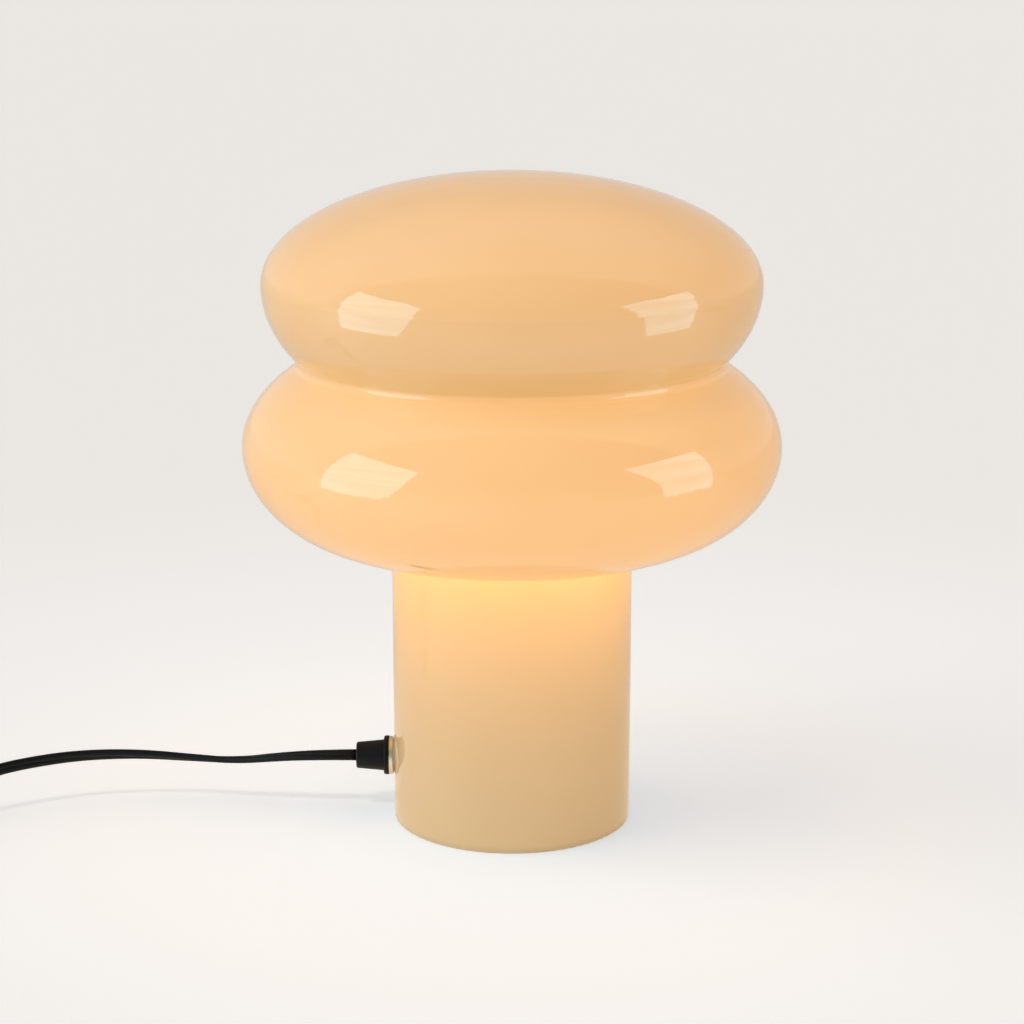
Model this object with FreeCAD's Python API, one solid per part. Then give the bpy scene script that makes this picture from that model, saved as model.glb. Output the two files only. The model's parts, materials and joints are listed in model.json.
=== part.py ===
"""Table lamp: one blown opal glass body of two stacked bulges on a hollow stem, lit from inside.

Millimetres, +Z up, origin on the ground in the middle of the glass foot. The cord leaves on the -X side.
"""

import FreeCAD, Part
import math
import os

Vector = FreeCAD.Vector
UP = Vector(0, 0, 1)
OUT = Vector(-1, 0, 0)

# Glass body
STEM_R = 56.3
WALL = 3.5
LOWER_R = 125.0
LOWER_Z = 182.0
LOWER_CROWN = 58.8
LOWER_CROWN_CENTRE_R = 10.0
LOWER_UNDER = 47.5
LOWER_UNDER_CENTRE_R = 62.5
UPPER_R = 114.9
UPPER_Z = 256.9
UPPER_CROWN = 49.8
UPPER_CROWN_CENTRE_R = 2.0
UPPER_UNDER = 62.8
UPPER_UNDER_CENTRE_R = 20.0
NECK_ROUND = 3.0
STEM_ROUND = 4.0
RIM_ROUND = 1.2

# Threaded tubes, nuts and washers
TUBE_R = 4.95
TUBE_BORE_R = 3.5
TUBE_FIT = 0.1
NUT_ACROSS = 14.0
NUT_H = 4.0
WASHER_R = 8.0
WASHER_T = 1.2
TUBE_PROUD = 2.0

# Gland through the stem wall
GLAND_Z = 29.0
GLAND_HOLE_PLAY = 0.3
SEAL_R = 8.2
SEAL_T = 0.6
SEAL_PLAY = 0.05
RING_R = 9.0
RING_T = 1.8
FLANGE_R = 9.3
FLANGE_T = 2.5
RELIEF_L = 13.2
RELIEF_ROOT_R = 7.4
RELIEF_TIP_R = 6.2
RELIEF_ROUND = 0.9
RELIEF_THREAD_L = 9.2

# Bracket inside the stem
STRIP_W = 18.0
STRIP_T = 2.0
STRIP_BEND_R = 3.0
ARM_Z = 58.0
TAB_BELOW_GLAND = 10.0

# Riser tube on the lamp's axis
RISER_L = 55.0

# Flat cord: two cores in one sheath
CORD_W = 5.6
CORD_T = 3.2
CORD_TUBE_D = 5.4
CORD_PLAY = 0.2
LEAD_BEND_R = 20.0
WIRE_R = 0.9
WIRE_APART = 1.3

# Bulb holder
CAP_NECK_R = 7.5
CAP_NECK_L = 10.0
CAP_R = 14.0
CAP_WALL = 1.7
CAP_DOME_H = 6.0
CAP_SKIRT_L = 10.0
CAP_STOP_T = 0.9
HOLDER_PLAY = 0.2
SLEEVE_WALL = 1.5
SLEEVE_INSERT_L = 6.0
SLEEVE_BULB_GAP = 0.65
CORE_BELOW_STEP = 3.0
CORE_FLOOR_T = 9.0
CORE_BELOW_RIM = 4.0
SOCKET_R = 7.7
SHELL_T = 0.4
SHELL_PLAY = 0.05
SHELL_L = 16.9
SHELL_ABOVE_FLOOR = 3.0
THREAD_PITCH = 2.82
THREAD_DEPTH = 0.7
THREAD_PLAY = 0.3
CONTACT_T = 0.5
CONTACT_W = 4.0
CONTACT_RISE = 1.6
BLOCK = 5.0
BLOCK_INSET = 4.1
BLOCK_SCREW_R = 1.2
GRUB_R = 1.45
GRUB_L = 3.0

# Bulb
BULB_R = 22.5
BULB_L = 76.5
BULB_THREAD_R = 6.95
BULB_CAP_WALL = 0.5
BULB_TIP_R = 2.3
BULB_TIP_H = 1.2
BULB_INSULATOR_H = 3.0
BULB_CAP_L = 17.0
BULB_COLLAR_L = 3.0
BULB_SEAT_W = 1.0
BULB_DOME_WALL = 1.2
BULB_DOME_BELOW = 14.0
BULB_BODY_WALL = 1.5
BULB_PLAY = 0.15
BULB_NECK_L = 10.0
LED_BOARD_T = 1.5
LED_COUNT = 8
LED_RING_R = 9.5
LED_SIZE = 3.0
DRIVER_W = 8.0
DRIVER_T = 1.2
CAPACITOR_R = 2.6
CAPACITOR_L = 9.0

# Inline switch: its middle on the ground, its size and its rocker
SWITCH_X = -341.0
SWITCH_Y = -30.0
SWITCH_L = 68.0
SWITCH_W = 26.0
SWITCH_NOSE_W = 14.0
SWITCH_BODY_L = 44.0
SWITCH_H = 18.0
SWITCH_CORD_Z = 8.0
SWITCH_WALL = 1.8
SWITCH_CORNER_R = 5.0
SWITCH_EDGE_R = 1.5
SWITCH_SCREW_X = 15.5
SWITCH_SCREW_Y = 7.4
BOSS_R = 3.4
SCREW_R = 1.5
SCREW_HEAD_R = 2.6
SCREW_HEAD_H = 2.0
SCREW_SINK = 0.4
SCREW_INTO_TOP = 6.0
SCREW_PLAY = 0.1
ROCKER_DEPTH = 4.4
ROCKER_HALF = 8.2
ROCKER_HALF_W = 6.2
ROCKER_PLAY = 0.3
ROCKER_TILT = 10.5
ROCKER_END_H = 5.6
ROCKER_MIDDLE_H = 4.3
ROCKER_STEM_R = 2.2
ROCKER_STEM_L = 3.4
PIVOT_R = 1.5
PIVOT_L = 1.4
PIVOT_PLAY = 0.06
CHEEK_T = 2.1
CHEEK_HALF = 3.6
CHEEK_BELOW_PIVOT = 2.6
PLUNGER_R = 1.1
PLUNGER_BALL_R = 1.2
PLUNGER_REACH = 5.3
PLUNGER_PLAY = 0.05
SPRING_WIRE_R = 0.15
SPRING_TURNS = 4
SPRING_L = 2.6
BLADE_L = 16.0
BLADE_W = 4.0
BLADE_T = 0.8
BLADE_Z = 6.2
BLADE_TILT = 5.0
BLADE_PLAY = 0.1
BLADE_RIB_R = 0.6
CONTACT_X = 6.8
STRIP_CONTACT_T = 0.8
TERMINAL_X = 14.5
TERMINAL_H = 5.0
LINK_Y = 8.6
LINK_L = 18.0
LINK_W = 4.0
SHEATH_IN_SWITCH = 12.0

# Coil of the cord that is put away, tied flat on the ground
COIL_X = -452.0
COIL_Y = 1.5
COIL_OUTER_R = 42.5
COIL_PITCH = 6.0
COIL_LAYER = 6.0
COIL_TURNS_EACH = 3.25
COIL_CLIMB_TURNS = 0.5
COIL_CLIMB_INSET = 1.4
TIE_T = 0.6
TIE_W = 8.0
TIE_GAP = 0.3

# Two-pin plug
PLUG_X = -507.0
PLUG_RELIEF_L = 22.0
PLUG_RELIEF_TIP_R = 4.2
PLUG_RELIEF_ROOT_R = 5.8
PLUG_L = 33.0
PLUG_W = 34.0
PLUG_T = 13.7
PLUG_NECK_W = 13.0
PLUG_SHOULDER_L = 12.0
PLUG_ROUND = 2.2
PIN_APART = 18.6
PIN_R = 2.0
PIN_TIP_L = 9.0
PIN_SLEEVE_L = 10.0
PIN_SLEEVE_R = 1.7
PIN_ROOT_R = 1.2
PIN_IN_BODY = 8.0
PIN_END_ROUND = 0.8

# Heights that follow from the sizes above
STEM_BORE_R = STEM_R - WALL
COIL_Z = TIE_T + TIE_GAP + CORD_TUBE_D / 2
COIL_END_Z = COIL_Z + COIL_LAYER
PLUG_Z = PLUG_T / 2
RELIEF_FACE = STEM_R + SEAL_T + RING_T
RELIEF_END = RELIEF_FACE + FLANGE_T + RELIEF_L
RISER_BOTTOM = ARM_Z - WASHER_T - NUT_H - TUBE_PROUD
RISER_TOP = RISER_BOTTOM + RISER_L
CAP_BOTTOM = RISER_TOP - CAP_NECK_L + CAP_STOP_T
CAP_NECK_TOP = CAP_BOTTOM + CAP_NECK_L
CAP_TOP = CAP_NECK_TOP + CAP_DOME_H + CAP_SKIRT_L
CAP_FLOOR = CAP_NECK_TOP + CAP_WALL
CAP_BORE_R = CAP_R - CAP_WALL
BLOCK_OFF = CAP_BORE_R - HOLDER_PLAY - SLEEVE_WALL - BLOCK_INSET
CORE_BOTTOM = CAP_TOP - CORE_BELOW_STEP
SOCKET_FLOOR = CORE_BOTTOM + CORE_FLOOR_T
BULB_TIP_Z = SOCKET_FLOOR + CONTACT_T + CONTACT_RISE + BULB_PLAY
BULB_CAP_Z = BULB_TIP_Z + BULB_TIP_H + BULB_INSULATOR_H
BULB_BODY_Z = BULB_CAP_Z + BULB_CAP_L
BULB_CENTRE_Z = BULB_TIP_Z + BULB_L - BULB_R
BULB_SEAM_Z = BULB_CENTRE_Z - BULB_DOME_BELOW
BULB_SEAM_R = math.sqrt(BULB_R**2 - BULB_DOME_BELOW**2)
SHELL_Z = SOCKET_FLOOR + SHELL_ABOVE_FLOOR


def flare_angle(radius):
    """Where on the quarter turn of the bulb's flare its radius is reached."""
    return math.asin((radius - FLARE_LOW_R) / (FLARE_TOP_R - FLARE_LOW_R))


def flare_point(angle):
    """Radius and height on the bulb's flare, from its seat up to the seam with the dome."""
    radius = FLARE_LOW_R + (FLARE_TOP_R - FLARE_LOW_R) * math.sin(angle)
    return radius, FLARE_LOW_Z + (BULB_SEAM_Z - FLARE_LOW_Z) * (1 - math.cos(angle))


FLARE_LOW_R = BULB_THREAD_R + BULB_SEAT_W
FLARE_TOP_R = BULB_SEAM_R - 0.1
FLARE_LOW_Z = BULB_BODY_Z + BULB_SEAT_W
SLEEVE_TOP = flare_point(flare_angle(CAP_R - SLEEVE_WALL - SLEEVE_BULB_GAP))[1]

# The lit stretch of cord from the gland to the switch, and the two stretches round the coil
LEAD_POINTS = [
    (-RELIEF_END, 0.0, GLAND_Z),
    (-90.0, 0.0, GLAND_Z),
    (-110.0, 3.4, 27.0),
    (-133.0, 9.0, 23.0),
    (-156.0, 12.6, 23.4),
    (-180.0, 11.6, 25.6),
    (-206.0, 8.2, 26.2),
    (-228.0, 0.6, 25.6),
    (-247.0, -9.6, 24.4),
    (-264.5, -19.6, 20.0),
    (-279.0, -27.2, 13.4),
    (-293.4, -30.0, SWITCH_CORD_Z),
    (SWITCH_X + SWITCH_L / 2, SWITCH_Y, SWITCH_CORD_Z),
]
RUN_POINTS = [
    (SWITCH_X - SWITCH_L / 2, SWITCH_Y, SWITCH_CORD_Z),
    (-387.0, SWITCH_Y, SWITCH_CORD_Z),
    (-402.0, -33.0, 5.6),
    (-417.0, -37.8, 4.1),
    (-433.0, COIL_Y - COIL_OUTER_R, COIL_Z),
    (COIL_X + CORD_TUBE_D, COIL_Y - COIL_OUTER_R, COIL_Z),
]
TAIL_POINTS = [
    (COIL_X - CORD_TUBE_D, COIL_Y - COIL_OUTER_R, COIL_END_Z),
    (-469.0, COIL_Y - COIL_OUTER_R, COIL_END_Z),
    (-482.0, -41.7, 8.2),
    (-495.0, -41.0, PLUG_Z),
    (PLUG_X, -41.0, PLUG_Z),
]
PLUG_Y = TAIL_POINTS[-1][1]


def ring(outer, bore, low, high):
    """A tube round the Z axis."""
    body = Part.makeCylinder(outer, high - low, Vector(0, 0, low))
    return body.cut(Part.makeCylinder(bore, high - low, Vector(0, 0, low)))


def rod(radius, low, high, x=0.0, y=0.0):
    return Part.makeCylinder(radius, high - low, Vector(x, y, low))


def box(x, y, z):
    """A box between two values on each axis."""
    return Part.makeBox(x[1] - x[0], y[1] - y[0], z[1] - z[0], Vector(x[0], y[0], z[0]))


def lathe(outline):
    """Turns a closed outline of (radius, height) points round the Z axis."""
    points = [Vector(r, 0, z) for r, z in outline]
    face = Part.Face(Part.makePolygon(points + points[:1]))
    return face.revolve(Vector(0, 0, 0), UP, 360)


def aim(shape, place, axis):
    """Moves a shape made on the Z axis to a place, with Z turned to an axis."""
    shape.Placement = FreeCAD.Placement(place, FreeCAD.Rotation(UP, axis))
    return shape


def hex_nut(low):
    corner = NUT_ACROSS / math.sqrt(3)
    corners = [Vector(corner * math.cos(a), corner * math.sin(a), low) for a in
               [math.radians(60 * k) for k in range(7)]]
    body = Part.Face(Part.makePolygon(corners)).extrude(Vector(0, 0, NUT_H))
    cone = Part.makeCone(corner + NUT_H, corner - NUT_H / 4, NUT_H * 1.25, Vector(0, 0, low))
    other = cone.mirror(Vector(0, 0, low + NUT_H / 2), UP)
    return body.common(cone).common(other).cut(rod(TUBE_R + TUBE_FIT, low, low + NUT_H))


def washer(radius, low, thickness):
    return ring(radius, TUBE_R + TUBE_FIT, low, low + thickness)


def stadium(width, thickness, place, normal, across):
    """A flat face with round ends, as the cord's section is."""
    half = (width - thickness) / 2
    side = normal.cross(across) * (thickness / 2)
    a, b = place + across * half, place - across * half
    tip_a, tip_b = a + across * (thickness / 2), b - across * (thickness / 2)
    edges = [
        Part.Arc(a + side, tip_a, a - side).toShape(),
        Part.makeLine(a - side, b - side),
        Part.Arc(b - side, tip_b, b + side).toShape(),
        Part.makeLine(b + side, a + side),
    ]
    return Part.Wire(edges)


def bent_path(points, share=0.45):
    """Straight runs joined by tangent arcs, each as large as its two runs allow."""
    points = [Vector(*p) for p in points]
    edges, radii, start = [], [], points[0]
    for before, corner, after in zip(points, points[1:], points[2:]):
        into, away = corner - before, after - corner
        cut = share * min(into.Length, away.Length)
        half_turn = into.getAngle(away) / 2
        into.normalize()
        away.normalize()
        first, last = corner - into * cut, corner + away * cut
        radius = cut / math.tan(half_turn)
        inward = (away - into).normalize()
        middle = corner + inward * (radius / math.cos(half_turn) - radius)
        edges.append(Part.makeLine(start, first))
        edges.append(Part.Arc(first, middle, last).toShape())
        radii.append(radius)
        start = last
    edges.append(Part.makeLine(start, points[-1]))
    return Part.Wire(edges), radii


def swept(path, section):
    return path.makePipeShell([section], True, False)


def round_tube(path, radius):
    first = path.OrderedEdges[0]
    start, heading = first.valueAt(first.FirstParameter), first.tangentAt(first.FirstParameter)
    return swept(path, Part.Wire(Part.makeCircle(radius, start, heading)))


def cord_tube(points, name):
    path, radii = bent_path(points)
    solid = round_tube(path, CORD_TUBE_D / 2)
    share = solid.Volume / (math.pi * CORD_TUBE_D**2 / 4 * path.Length)
    print(f"{name}: {path.Length:.0f} mm long, volume {share:.4f} of section times length, "
          f"bend radii {', '.join(f'{r:.0f}' for r in radii)} mm")
    return solid


def quarter_ellipse(centre_r, centre_z, rim_r, rise):
    """From the widest point to the top (or, with a negative rise, the bottom) of a bulge."""
    centre = Vector(centre_r, 0, centre_z)
    rim, top = Vector(rim_r, 0, centre_z), Vector(centre_r, 0, centre_z + rise)
    long_end, short_end = (rim, top) if rim_r - centre_r >= abs(rise) else (top, rim)
    return Part.Ellipse(long_end, short_end, centre).toShape(0, math.pi / 2)


def bulge_outline(rim_r, rim_z, crown, crown_r, under, under_r):
    """Half of a bulge's section: a quarter ellipse above its widest point and another below."""
    top, bottom = rim_z + crown, rim_z - under
    corners = [Vector(crown_r, 0, top), Vector(0, 0, top), Vector(0, 0, bottom), Vector(under_r, 0, bottom)]
    edges = [quarter_ellipse(crown_r, rim_z, rim_r, crown), quarter_ellipse(under_r, rim_z, rim_r, -under)]
    edges += [Part.makeLine(a, b) for a, b in zip(corners, corners[1:])]
    return Part.Face(Part.Wire(Part.__sortEdges__(edges)))


def rings_between(shape, low, high):
    """A turned shape's round edges whose middle is between two heights."""
    curved = [e for e in shape.Edges if not e.Degenerated]
    return [e for e in curved if isinstance(e.Curve, Part.Circle) and low < e.Curve.Center.z < high]


def rounded(edges, radius, is_corner):
    """Puts an arc in the one corner of a section's outline that the test picks."""
    corner = [v.Point for e in edges for v in e.Vertexes if is_corner(v.Point)][0]
    sides = [e for e in edges if any((v.Point - corner).Length < 1e-5 for v in e.Vertexes)]
    fillet = Part.ChFi2d.FilletAPI(Part.Wire(Part.__sortEdges__(sides)), Part.Plane(Vector(0, 0, 0), Vector(0, 1, 0)))
    fillet.perform(radius)
    return [e for e in edges if not any(e.isSame(side) for side in sides)] + list(fillet.result(corner))


def glass_envelope(inset):
    """The glass body's outer form, or, drawn in by the wall, the space inside it."""
    lower = bulge_outline(LOWER_R - inset, LOWER_Z, LOWER_CROWN - inset, LOWER_CROWN_CENTRE_R,
                          LOWER_UNDER - inset, LOWER_UNDER_CENTRE_R)
    upper = bulge_outline(UPPER_R - inset, UPPER_Z, UPPER_CROWN - inset, UPPER_CROWN_CENTRE_R,
                          UPPER_UNDER - inset, UPPER_UNDER_CENTRE_R)
    corners = [Vector(0, 0, 0), Vector(STEM_R - inset, 0, 0), Vector(STEM_R - inset, 0, LOWER_Z),
               Vector(0, 0, LOWER_Z), Vector(0, 0, 0)]
    edges = lower.fuse([upper, Part.Face(Part.makePolygon(corners))]).removeSplitter().Faces[0].Edges
    edges = rounded(edges, NECK_ROUND + inset, lambda p: p.x > STEM_R and LOWER_Z + 1 < p.z < UPPER_Z - 1)
    edges = rounded(edges, STEM_ROUND + inset, lambda p: abs(p.x - STEM_R + inset) < 0.01 and 1 < p.z < LOWER_Z - 1)
    for edge in edges:
        edge.fixTolerance(2e-5)
    return Part.Face(Part.Wire(Part.__sortEdges__(edges))).revolve(Vector(0, 0, 0), UP, 360)


def glass_body():
    glass = glass_envelope(0.0).cut(glass_envelope(WALL))
    glass = glass.makeFillet(RIM_ROUND, rings_between(glass, -0.1, 0.1))
    hole = aim(rod(TUBE_R + GLAND_HOLE_PLAY, STEM_BORE_R - WALL, STEM_R + WALL), Vector(0, 0, GLAND_Z), OUT)
    return glass.cut(hole)


def on_gland(shape):
    """Turns a shape made on the Z axis onto the gland's axis, its Z as the distance from the lamp's axis."""
    return aim(shape, Vector(0, 0, GLAND_Z), OUT)


SEAL_SEAT = math.sqrt(STEM_BORE_R**2 - (STRIP_W / 2) ** 2) - SEAL_T
TAB_INNER = SEAL_SEAT - STRIP_T
NIPPLE_IN = TAB_INNER - WASHER_T - NUT_H - TUBE_PROUD
NIPPLE_OUT = RELIEF_FACE + RELIEF_THREAD_L - TUBE_FIT


def gland_seal_outer():
    pad = on_gland(ring(SEAL_R, TUBE_R + TUBE_FIT, STEM_BORE_R, STEM_R + SEAL_T))
    return pad.cut(rod(STEM_R + SEAL_PLAY, 0, 2 * GLAND_Z))


def gland_seal_inner():
    pad = on_gland(ring(SEAL_R, TUBE_R + TUBE_FIT, SEAL_SEAT, STEM_R))
    return pad.common(rod(STEM_BORE_R - SEAL_PLAY, 0, 2 * GLAND_Z))


def strain_relief():
    """Flange and tapered body, threaded inside, with a flat opening for the cord."""
    shoulder = RELIEF_FACE + FLANGE_T
    body = rod(FLANGE_R, RELIEF_FACE, shoulder).fuse(
        Part.makeCone(RELIEF_ROOT_R, RELIEF_TIP_R, RELIEF_L, Vector(0, 0, shoulder)))
    soft = [e for e in body.Edges if isinstance(e.Curve, Part.Circle)
            and (abs(e.Curve.Center.z - RELIEF_END) < 1e-6
                 or abs(e.Curve.Center.z - shoulder) < 1e-6 and e.Curve.Radius > FLANGE_R - 0.01)]
    body = body.makeFillet(RELIEF_ROUND, soft)
    body = body.cut(rod(TUBE_R + TUBE_FIT, RELIEF_FACE, RELIEF_FACE + RELIEF_THREAD_L))
    slot = Part.Face(stadium(CORD_W + 2 * CORD_PLAY, CORD_T + 2 * CORD_PLAY, Vector(0, 0, RELIEF_FACE),
                             UP, Vector(0, 1, 0)))
    return on_gland(body.cut(slot.extrude(Vector(0, 0, RELIEF_END))))


def bracket():
    """A bent strip: its tab is clamped to the stem wall and its arm reaches the lamp's axis."""
    low, top = GLAND_Z - TAB_BELOW_GLAND, ARM_Z + STRIP_T
    outline = [(-SEAL_SEAT, low), (-SEAL_SEAT, top), (0, top), (0, ARM_Z), (-TAB_INNER, ARM_Z), (-TAB_INNER, low)]
    side = [Vector(x, -STRIP_W / 2, z) for x, z in outline]
    strip = Part.Face(Part.makePolygon(side + side[:1])).extrude(Vector(0, STRIP_W, 0))

    def corner(x, z):
        return [e for e in strip.Edges if all(abs(v.X - x) < 1e-6 and abs(v.Z - z) < 1e-6 for v in e.Vertexes)]

    strip = strip.makeFillet(STRIP_BEND_R + STRIP_T, corner(-SEAL_SEAT, top))
    strip = strip.makeFillet(STRIP_BEND_R, corner(-TAB_INNER, ARM_Z))
    strip = strip.fuse(rod(STRIP_W / 2, ARM_Z, top)).removeSplitter()
    foot = [e for e in strip.Edges if abs(e.BoundBox.ZMax - low) < 1e-6 and e.BoundBox.YLength < 1e-6]
    uprights = [e for e in strip.Edges if e.BoundBox.ZMin < low + 1e-6 and e.BoundBox.XLength > STRIP_T / 2
                and e.BoundBox.ZLength < 1e-6]
    strip = strip.makeFillet(STRIP_BEND_R, foot or uprights)
    strip = strip.cut(rod(TUBE_R + TUBE_FIT, ARM_Z, top))
    return strip.cut(on_gland(rod(TUBE_R + TUBE_FIT, TAB_INNER, SEAL_SEAT)))


def inner_lead():
    """The flat sheath from the strain relief through the stem wall and up into the riser."""
    turn_x, turn_z = -LEAD_BEND_R, GLAND_Z + LEAD_BEND_R
    diagonal = LEAD_BEND_R * math.sqrt(0.5)
    path = Part.Wire([
        Part.makeLine(Vector(-RELIEF_END, 0, GLAND_Z), Vector(turn_x, 0, GLAND_Z)),
        Part.Arc(Vector(turn_x, 0, GLAND_Z), Vector(turn_x + diagonal, 0, turn_z - diagonal),
                 Vector(0, 0, turn_z)).toShape(),
        Part.makeLine(Vector(0, 0, turn_z), Vector(0, 0, CAP_NECK_TOP)),
    ])
    section = stadium(CORD_W, CORD_T, Vector(-RELIEF_END, 0, GLAND_Z), Vector(1, 0, 0), Vector(0, 1, 0))
    return swept(path, section)


def inner_wire(side):
    """One insulated wire from the end of the sheath to its terminal block."""
    bend_low = CAP_FLOOR + 1.5 * WIRE_R
    bend_high = CORE_BOTTOM - BLOCK - 2.8 * WIRE_R
    points = [(0, side * WIRE_APART, CAP_NECK_TOP), (0, side * WIRE_APART, bend_low),
              (0, side * BLOCK_OFF, bend_high), (0, side * BLOCK_OFF, CORE_BOTTOM - BLOCK)]
    return round_tube(bent_path(points)[0], WIRE_R)


def holder_cap():
    rounding = CAP_DOME_H * math.sqrt(0.5)
    span = CAP_R - CAP_NECK_R
    shoulder = [(CAP_NECK_R + span * math.sin(a), CAP_NECK_TOP + CAP_DOME_H * (1 - math.cos(a)))
                for a in [math.radians(15 * k) for k in range(7)]]
    stop = CAP_NECK_TOP - CAP_STOP_T
    outline = [(TUBE_R + TUBE_FIT / 2, CAP_BOTTOM), (CAP_NECK_R, CAP_BOTTOM)] + shoulder + [
        (CAP_R, CAP_TOP), (CAP_BORE_R, CAP_TOP), (CAP_BORE_R, CAP_NECK_TOP + rounding + CAP_WALL),
        (CAP_BORE_R - CAP_WALL, CAP_FLOOR), (TUBE_BORE_R, CAP_FLOOR), (TUBE_BORE_R, stop),
        (TUBE_R + TUBE_FIT / 2, stop)]
    grub = aim(rod(GRUB_R, 0, 2 * CAP_NECK_R), Vector(0, 0, (CAP_BOTTOM + stop) / 2), Vector(0, 1, 0))
    return lathe(outline).cut(grub)


def holder_grub_screw():
    middle = (CAP_BOTTOM + CAP_NECK_TOP - CAP_STOP_T) / 2
    start = TUBE_R + TUBE_FIT / 2
    screw = rod(GRUB_R, start, start + GRUB_L).cut(
        box((-GRUB_R, GRUB_R), (-0.3, 0.3), (start + GRUB_L - 0.8, start + GRUB_L)))
    return aim(screw, Vector(0, 0, middle), Vector(0, 1, 0))


def holder_sleeve():
    insert = CAP_BORE_R - HOLDER_PLAY
    edge = SLEEVE_WALL / 3
    return lathe([
        (insert - SLEEVE_WALL, CAP_TOP - SLEEVE_INSERT_L), (insert, CAP_TOP - SLEEVE_INSERT_L), (insert, CAP_TOP),
        (CAP_R, CAP_TOP), (CAP_R, SLEEVE_TOP - edge), (CAP_R - edge, SLEEVE_TOP),
        (CAP_R - SLEEVE_WALL, SLEEVE_TOP), (CAP_R - SLEEVE_WALL, CAP_TOP + HOLDER_PLAY),
        (insert - SLEEVE_WALL, CAP_TOP + HOLDER_PLAY)])


def contact_slot(side):
    off = BLOCK_OFF * side
    half, play = CONTACT_T / 2, BULB_PLAY
    return box((-CONTACT_W / 2 - play, CONTACT_W / 2 + play), (off - half - play, off + half + play),
               (CORE_BOTTOM, SOCKET_FLOOR + SHELL_ABOVE_FLOOR))


def holder_core():
    wide = CAP_R - SLEEVE_WALL - HOLDER_PLAY
    narrow = CAP_BORE_R - SLEEVE_WALL - 2 * HOLDER_PLAY
    step, rim = CAP_TOP + HOLDER_PLAY, SLEEVE_TOP - CORE_BELOW_RIM
    core = lathe([(0, CORE_BOTTOM), (narrow, CORE_BOTTOM), (narrow, step), (wide, step), (wide, rim),
                  (SOCKET_R, rim), (SOCKET_R, SOCKET_FLOOR), (0, SOCKET_FLOOR)])
    return core.cut(contact_slot(1)).cut(contact_slot(-1))


def thread_outline(crest, root, low, turns, lead_in):
    """Ring-shaped threads as (radius, height) points, from low upwards."""
    points = []
    for turn in range(turns):
        base = low + lead_in + turn * THREAD_PITCH
        points += [(root, base), (root, base + 0.35 * THREAD_PITCH), (crest, base + 0.5 * THREAD_PITCH),
                   (crest, base + 0.85 * THREAD_PITCH)]
    return points


def contact_shell():
    """The holder's threaded shell, with a leg down to its terminal block."""
    outer, crest = SOCKET_R - SHELL_PLAY, BULB_THREAD_R - THREAD_DEPTH + THREAD_PLAY
    root = outer - SHELL_T
    turns = int((SHELL_L - 1.0) / THREAD_PITCH)
    phase = BULB_CAP_Z - SHELL_Z
    lead_in = phase - THREAD_PITCH * math.floor(phase / THREAD_PITCH)
    inside = thread_outline(crest, root, SHELL_Z, turns, lead_in)
    outline = [(outer, SHELL_Z), (outer, SHELL_Z + SHELL_L), (root, SHELL_Z + SHELL_L)]
    outline += [(root, inside[-1][1] + 0.15 * THREAD_PITCH)] + inside[::-1] + [(root, SHELL_Z)]
    leg = box((-CONTACT_W / 2, CONTACT_W / 2), (BLOCK_OFF - CONTACT_T / 2, BLOCK_OFF + CONTACT_T / 2),
              (CORE_BOTTOM, SHELL_Z))
    foot = box((-CONTACT_W / 2, CONTACT_W / 2), (BLOCK_OFF - CONTACT_T / 2, outer),
               (SHELL_Z - CONTACT_T, SHELL_Z + SHELL_PLAY))
    foot = foot.common(rod(outer, CORE_BOTTOM, SLEEVE_TOP))
    return lathe(outline).fuse(foot).fuse(leg).removeSplitter()


def contact_centre():
    """A bent strip on the socket floor, its tongue under the bulb's tip and its leg down to the terminal."""
    off, t = -BLOCK_OFF, CONTACT_T
    floor, top = SOCKET_FLOOR, SOCKET_FLOOR + CONTACT_T + CONTACT_RISE
    side = [(off - t / 2, CORE_BOTTOM), (off - t / 2, floor + t), (1.5, floor + t), (-1.5, top - t), (-1.5, top),
            (1.5, top), (1.5, top - t), (0.6, top - t), (3.2, floor + t), (3.2, floor), (off + t / 2, floor),
            (off + t / 2, CORE_BOTTOM)]
    points = [Vector(-CONTACT_W / 2, y, z) for y, z in side]
    return Part.Face(Part.makePolygon(points + points[:1])).extrude(Vector(CONTACT_W, 0, 0))


def terminal_block(side):
    y = side * BLOCK_OFF
    low = CORE_BOTTOM - BLOCK
    block = box((-BLOCK / 2, BLOCK / 2), (y - BLOCK / 2 + 0.5, y + BLOCK / 2 - 0.5), (low, CORE_BOTTOM))
    return block.cut(aim(rod(BLOCK_SCREW_R, 0, BLOCK), Vector(0, y, low + BLOCK / 2), Vector(1, 0, 0)))


def terminal_screw(side):
    y, z = side * BLOCK_OFF, CORE_BOTTOM - BLOCK / 2
    shank = rod(BLOCK_SCREW_R, 0.5, BLOCK / 2).fuse(rod(1.7 * BLOCK_SCREW_R, BLOCK / 2, BLOCK / 2 + 1.3))
    slot = box((-2.5, 2.5), (-0.25, 0.25), (BLOCK / 2 + 0.7, BLOCK / 2 + 1.3))
    return aim(shank.cut(slot), Vector(0, y, z), Vector(1, 0, 0))


def bulb_dome():
    outer = Part.makeSphere(BULB_R, Vector(0, 0, BULB_CENTRE_Z))
    inner = Part.makeSphere(BULB_R - BULB_DOME_WALL, Vector(0, 0, BULB_CENTRE_Z))
    return outer.cut(inner).cut(rod(BULB_R, BULB_CENTRE_Z - BULB_R, BULB_SEAM_Z))


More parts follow.
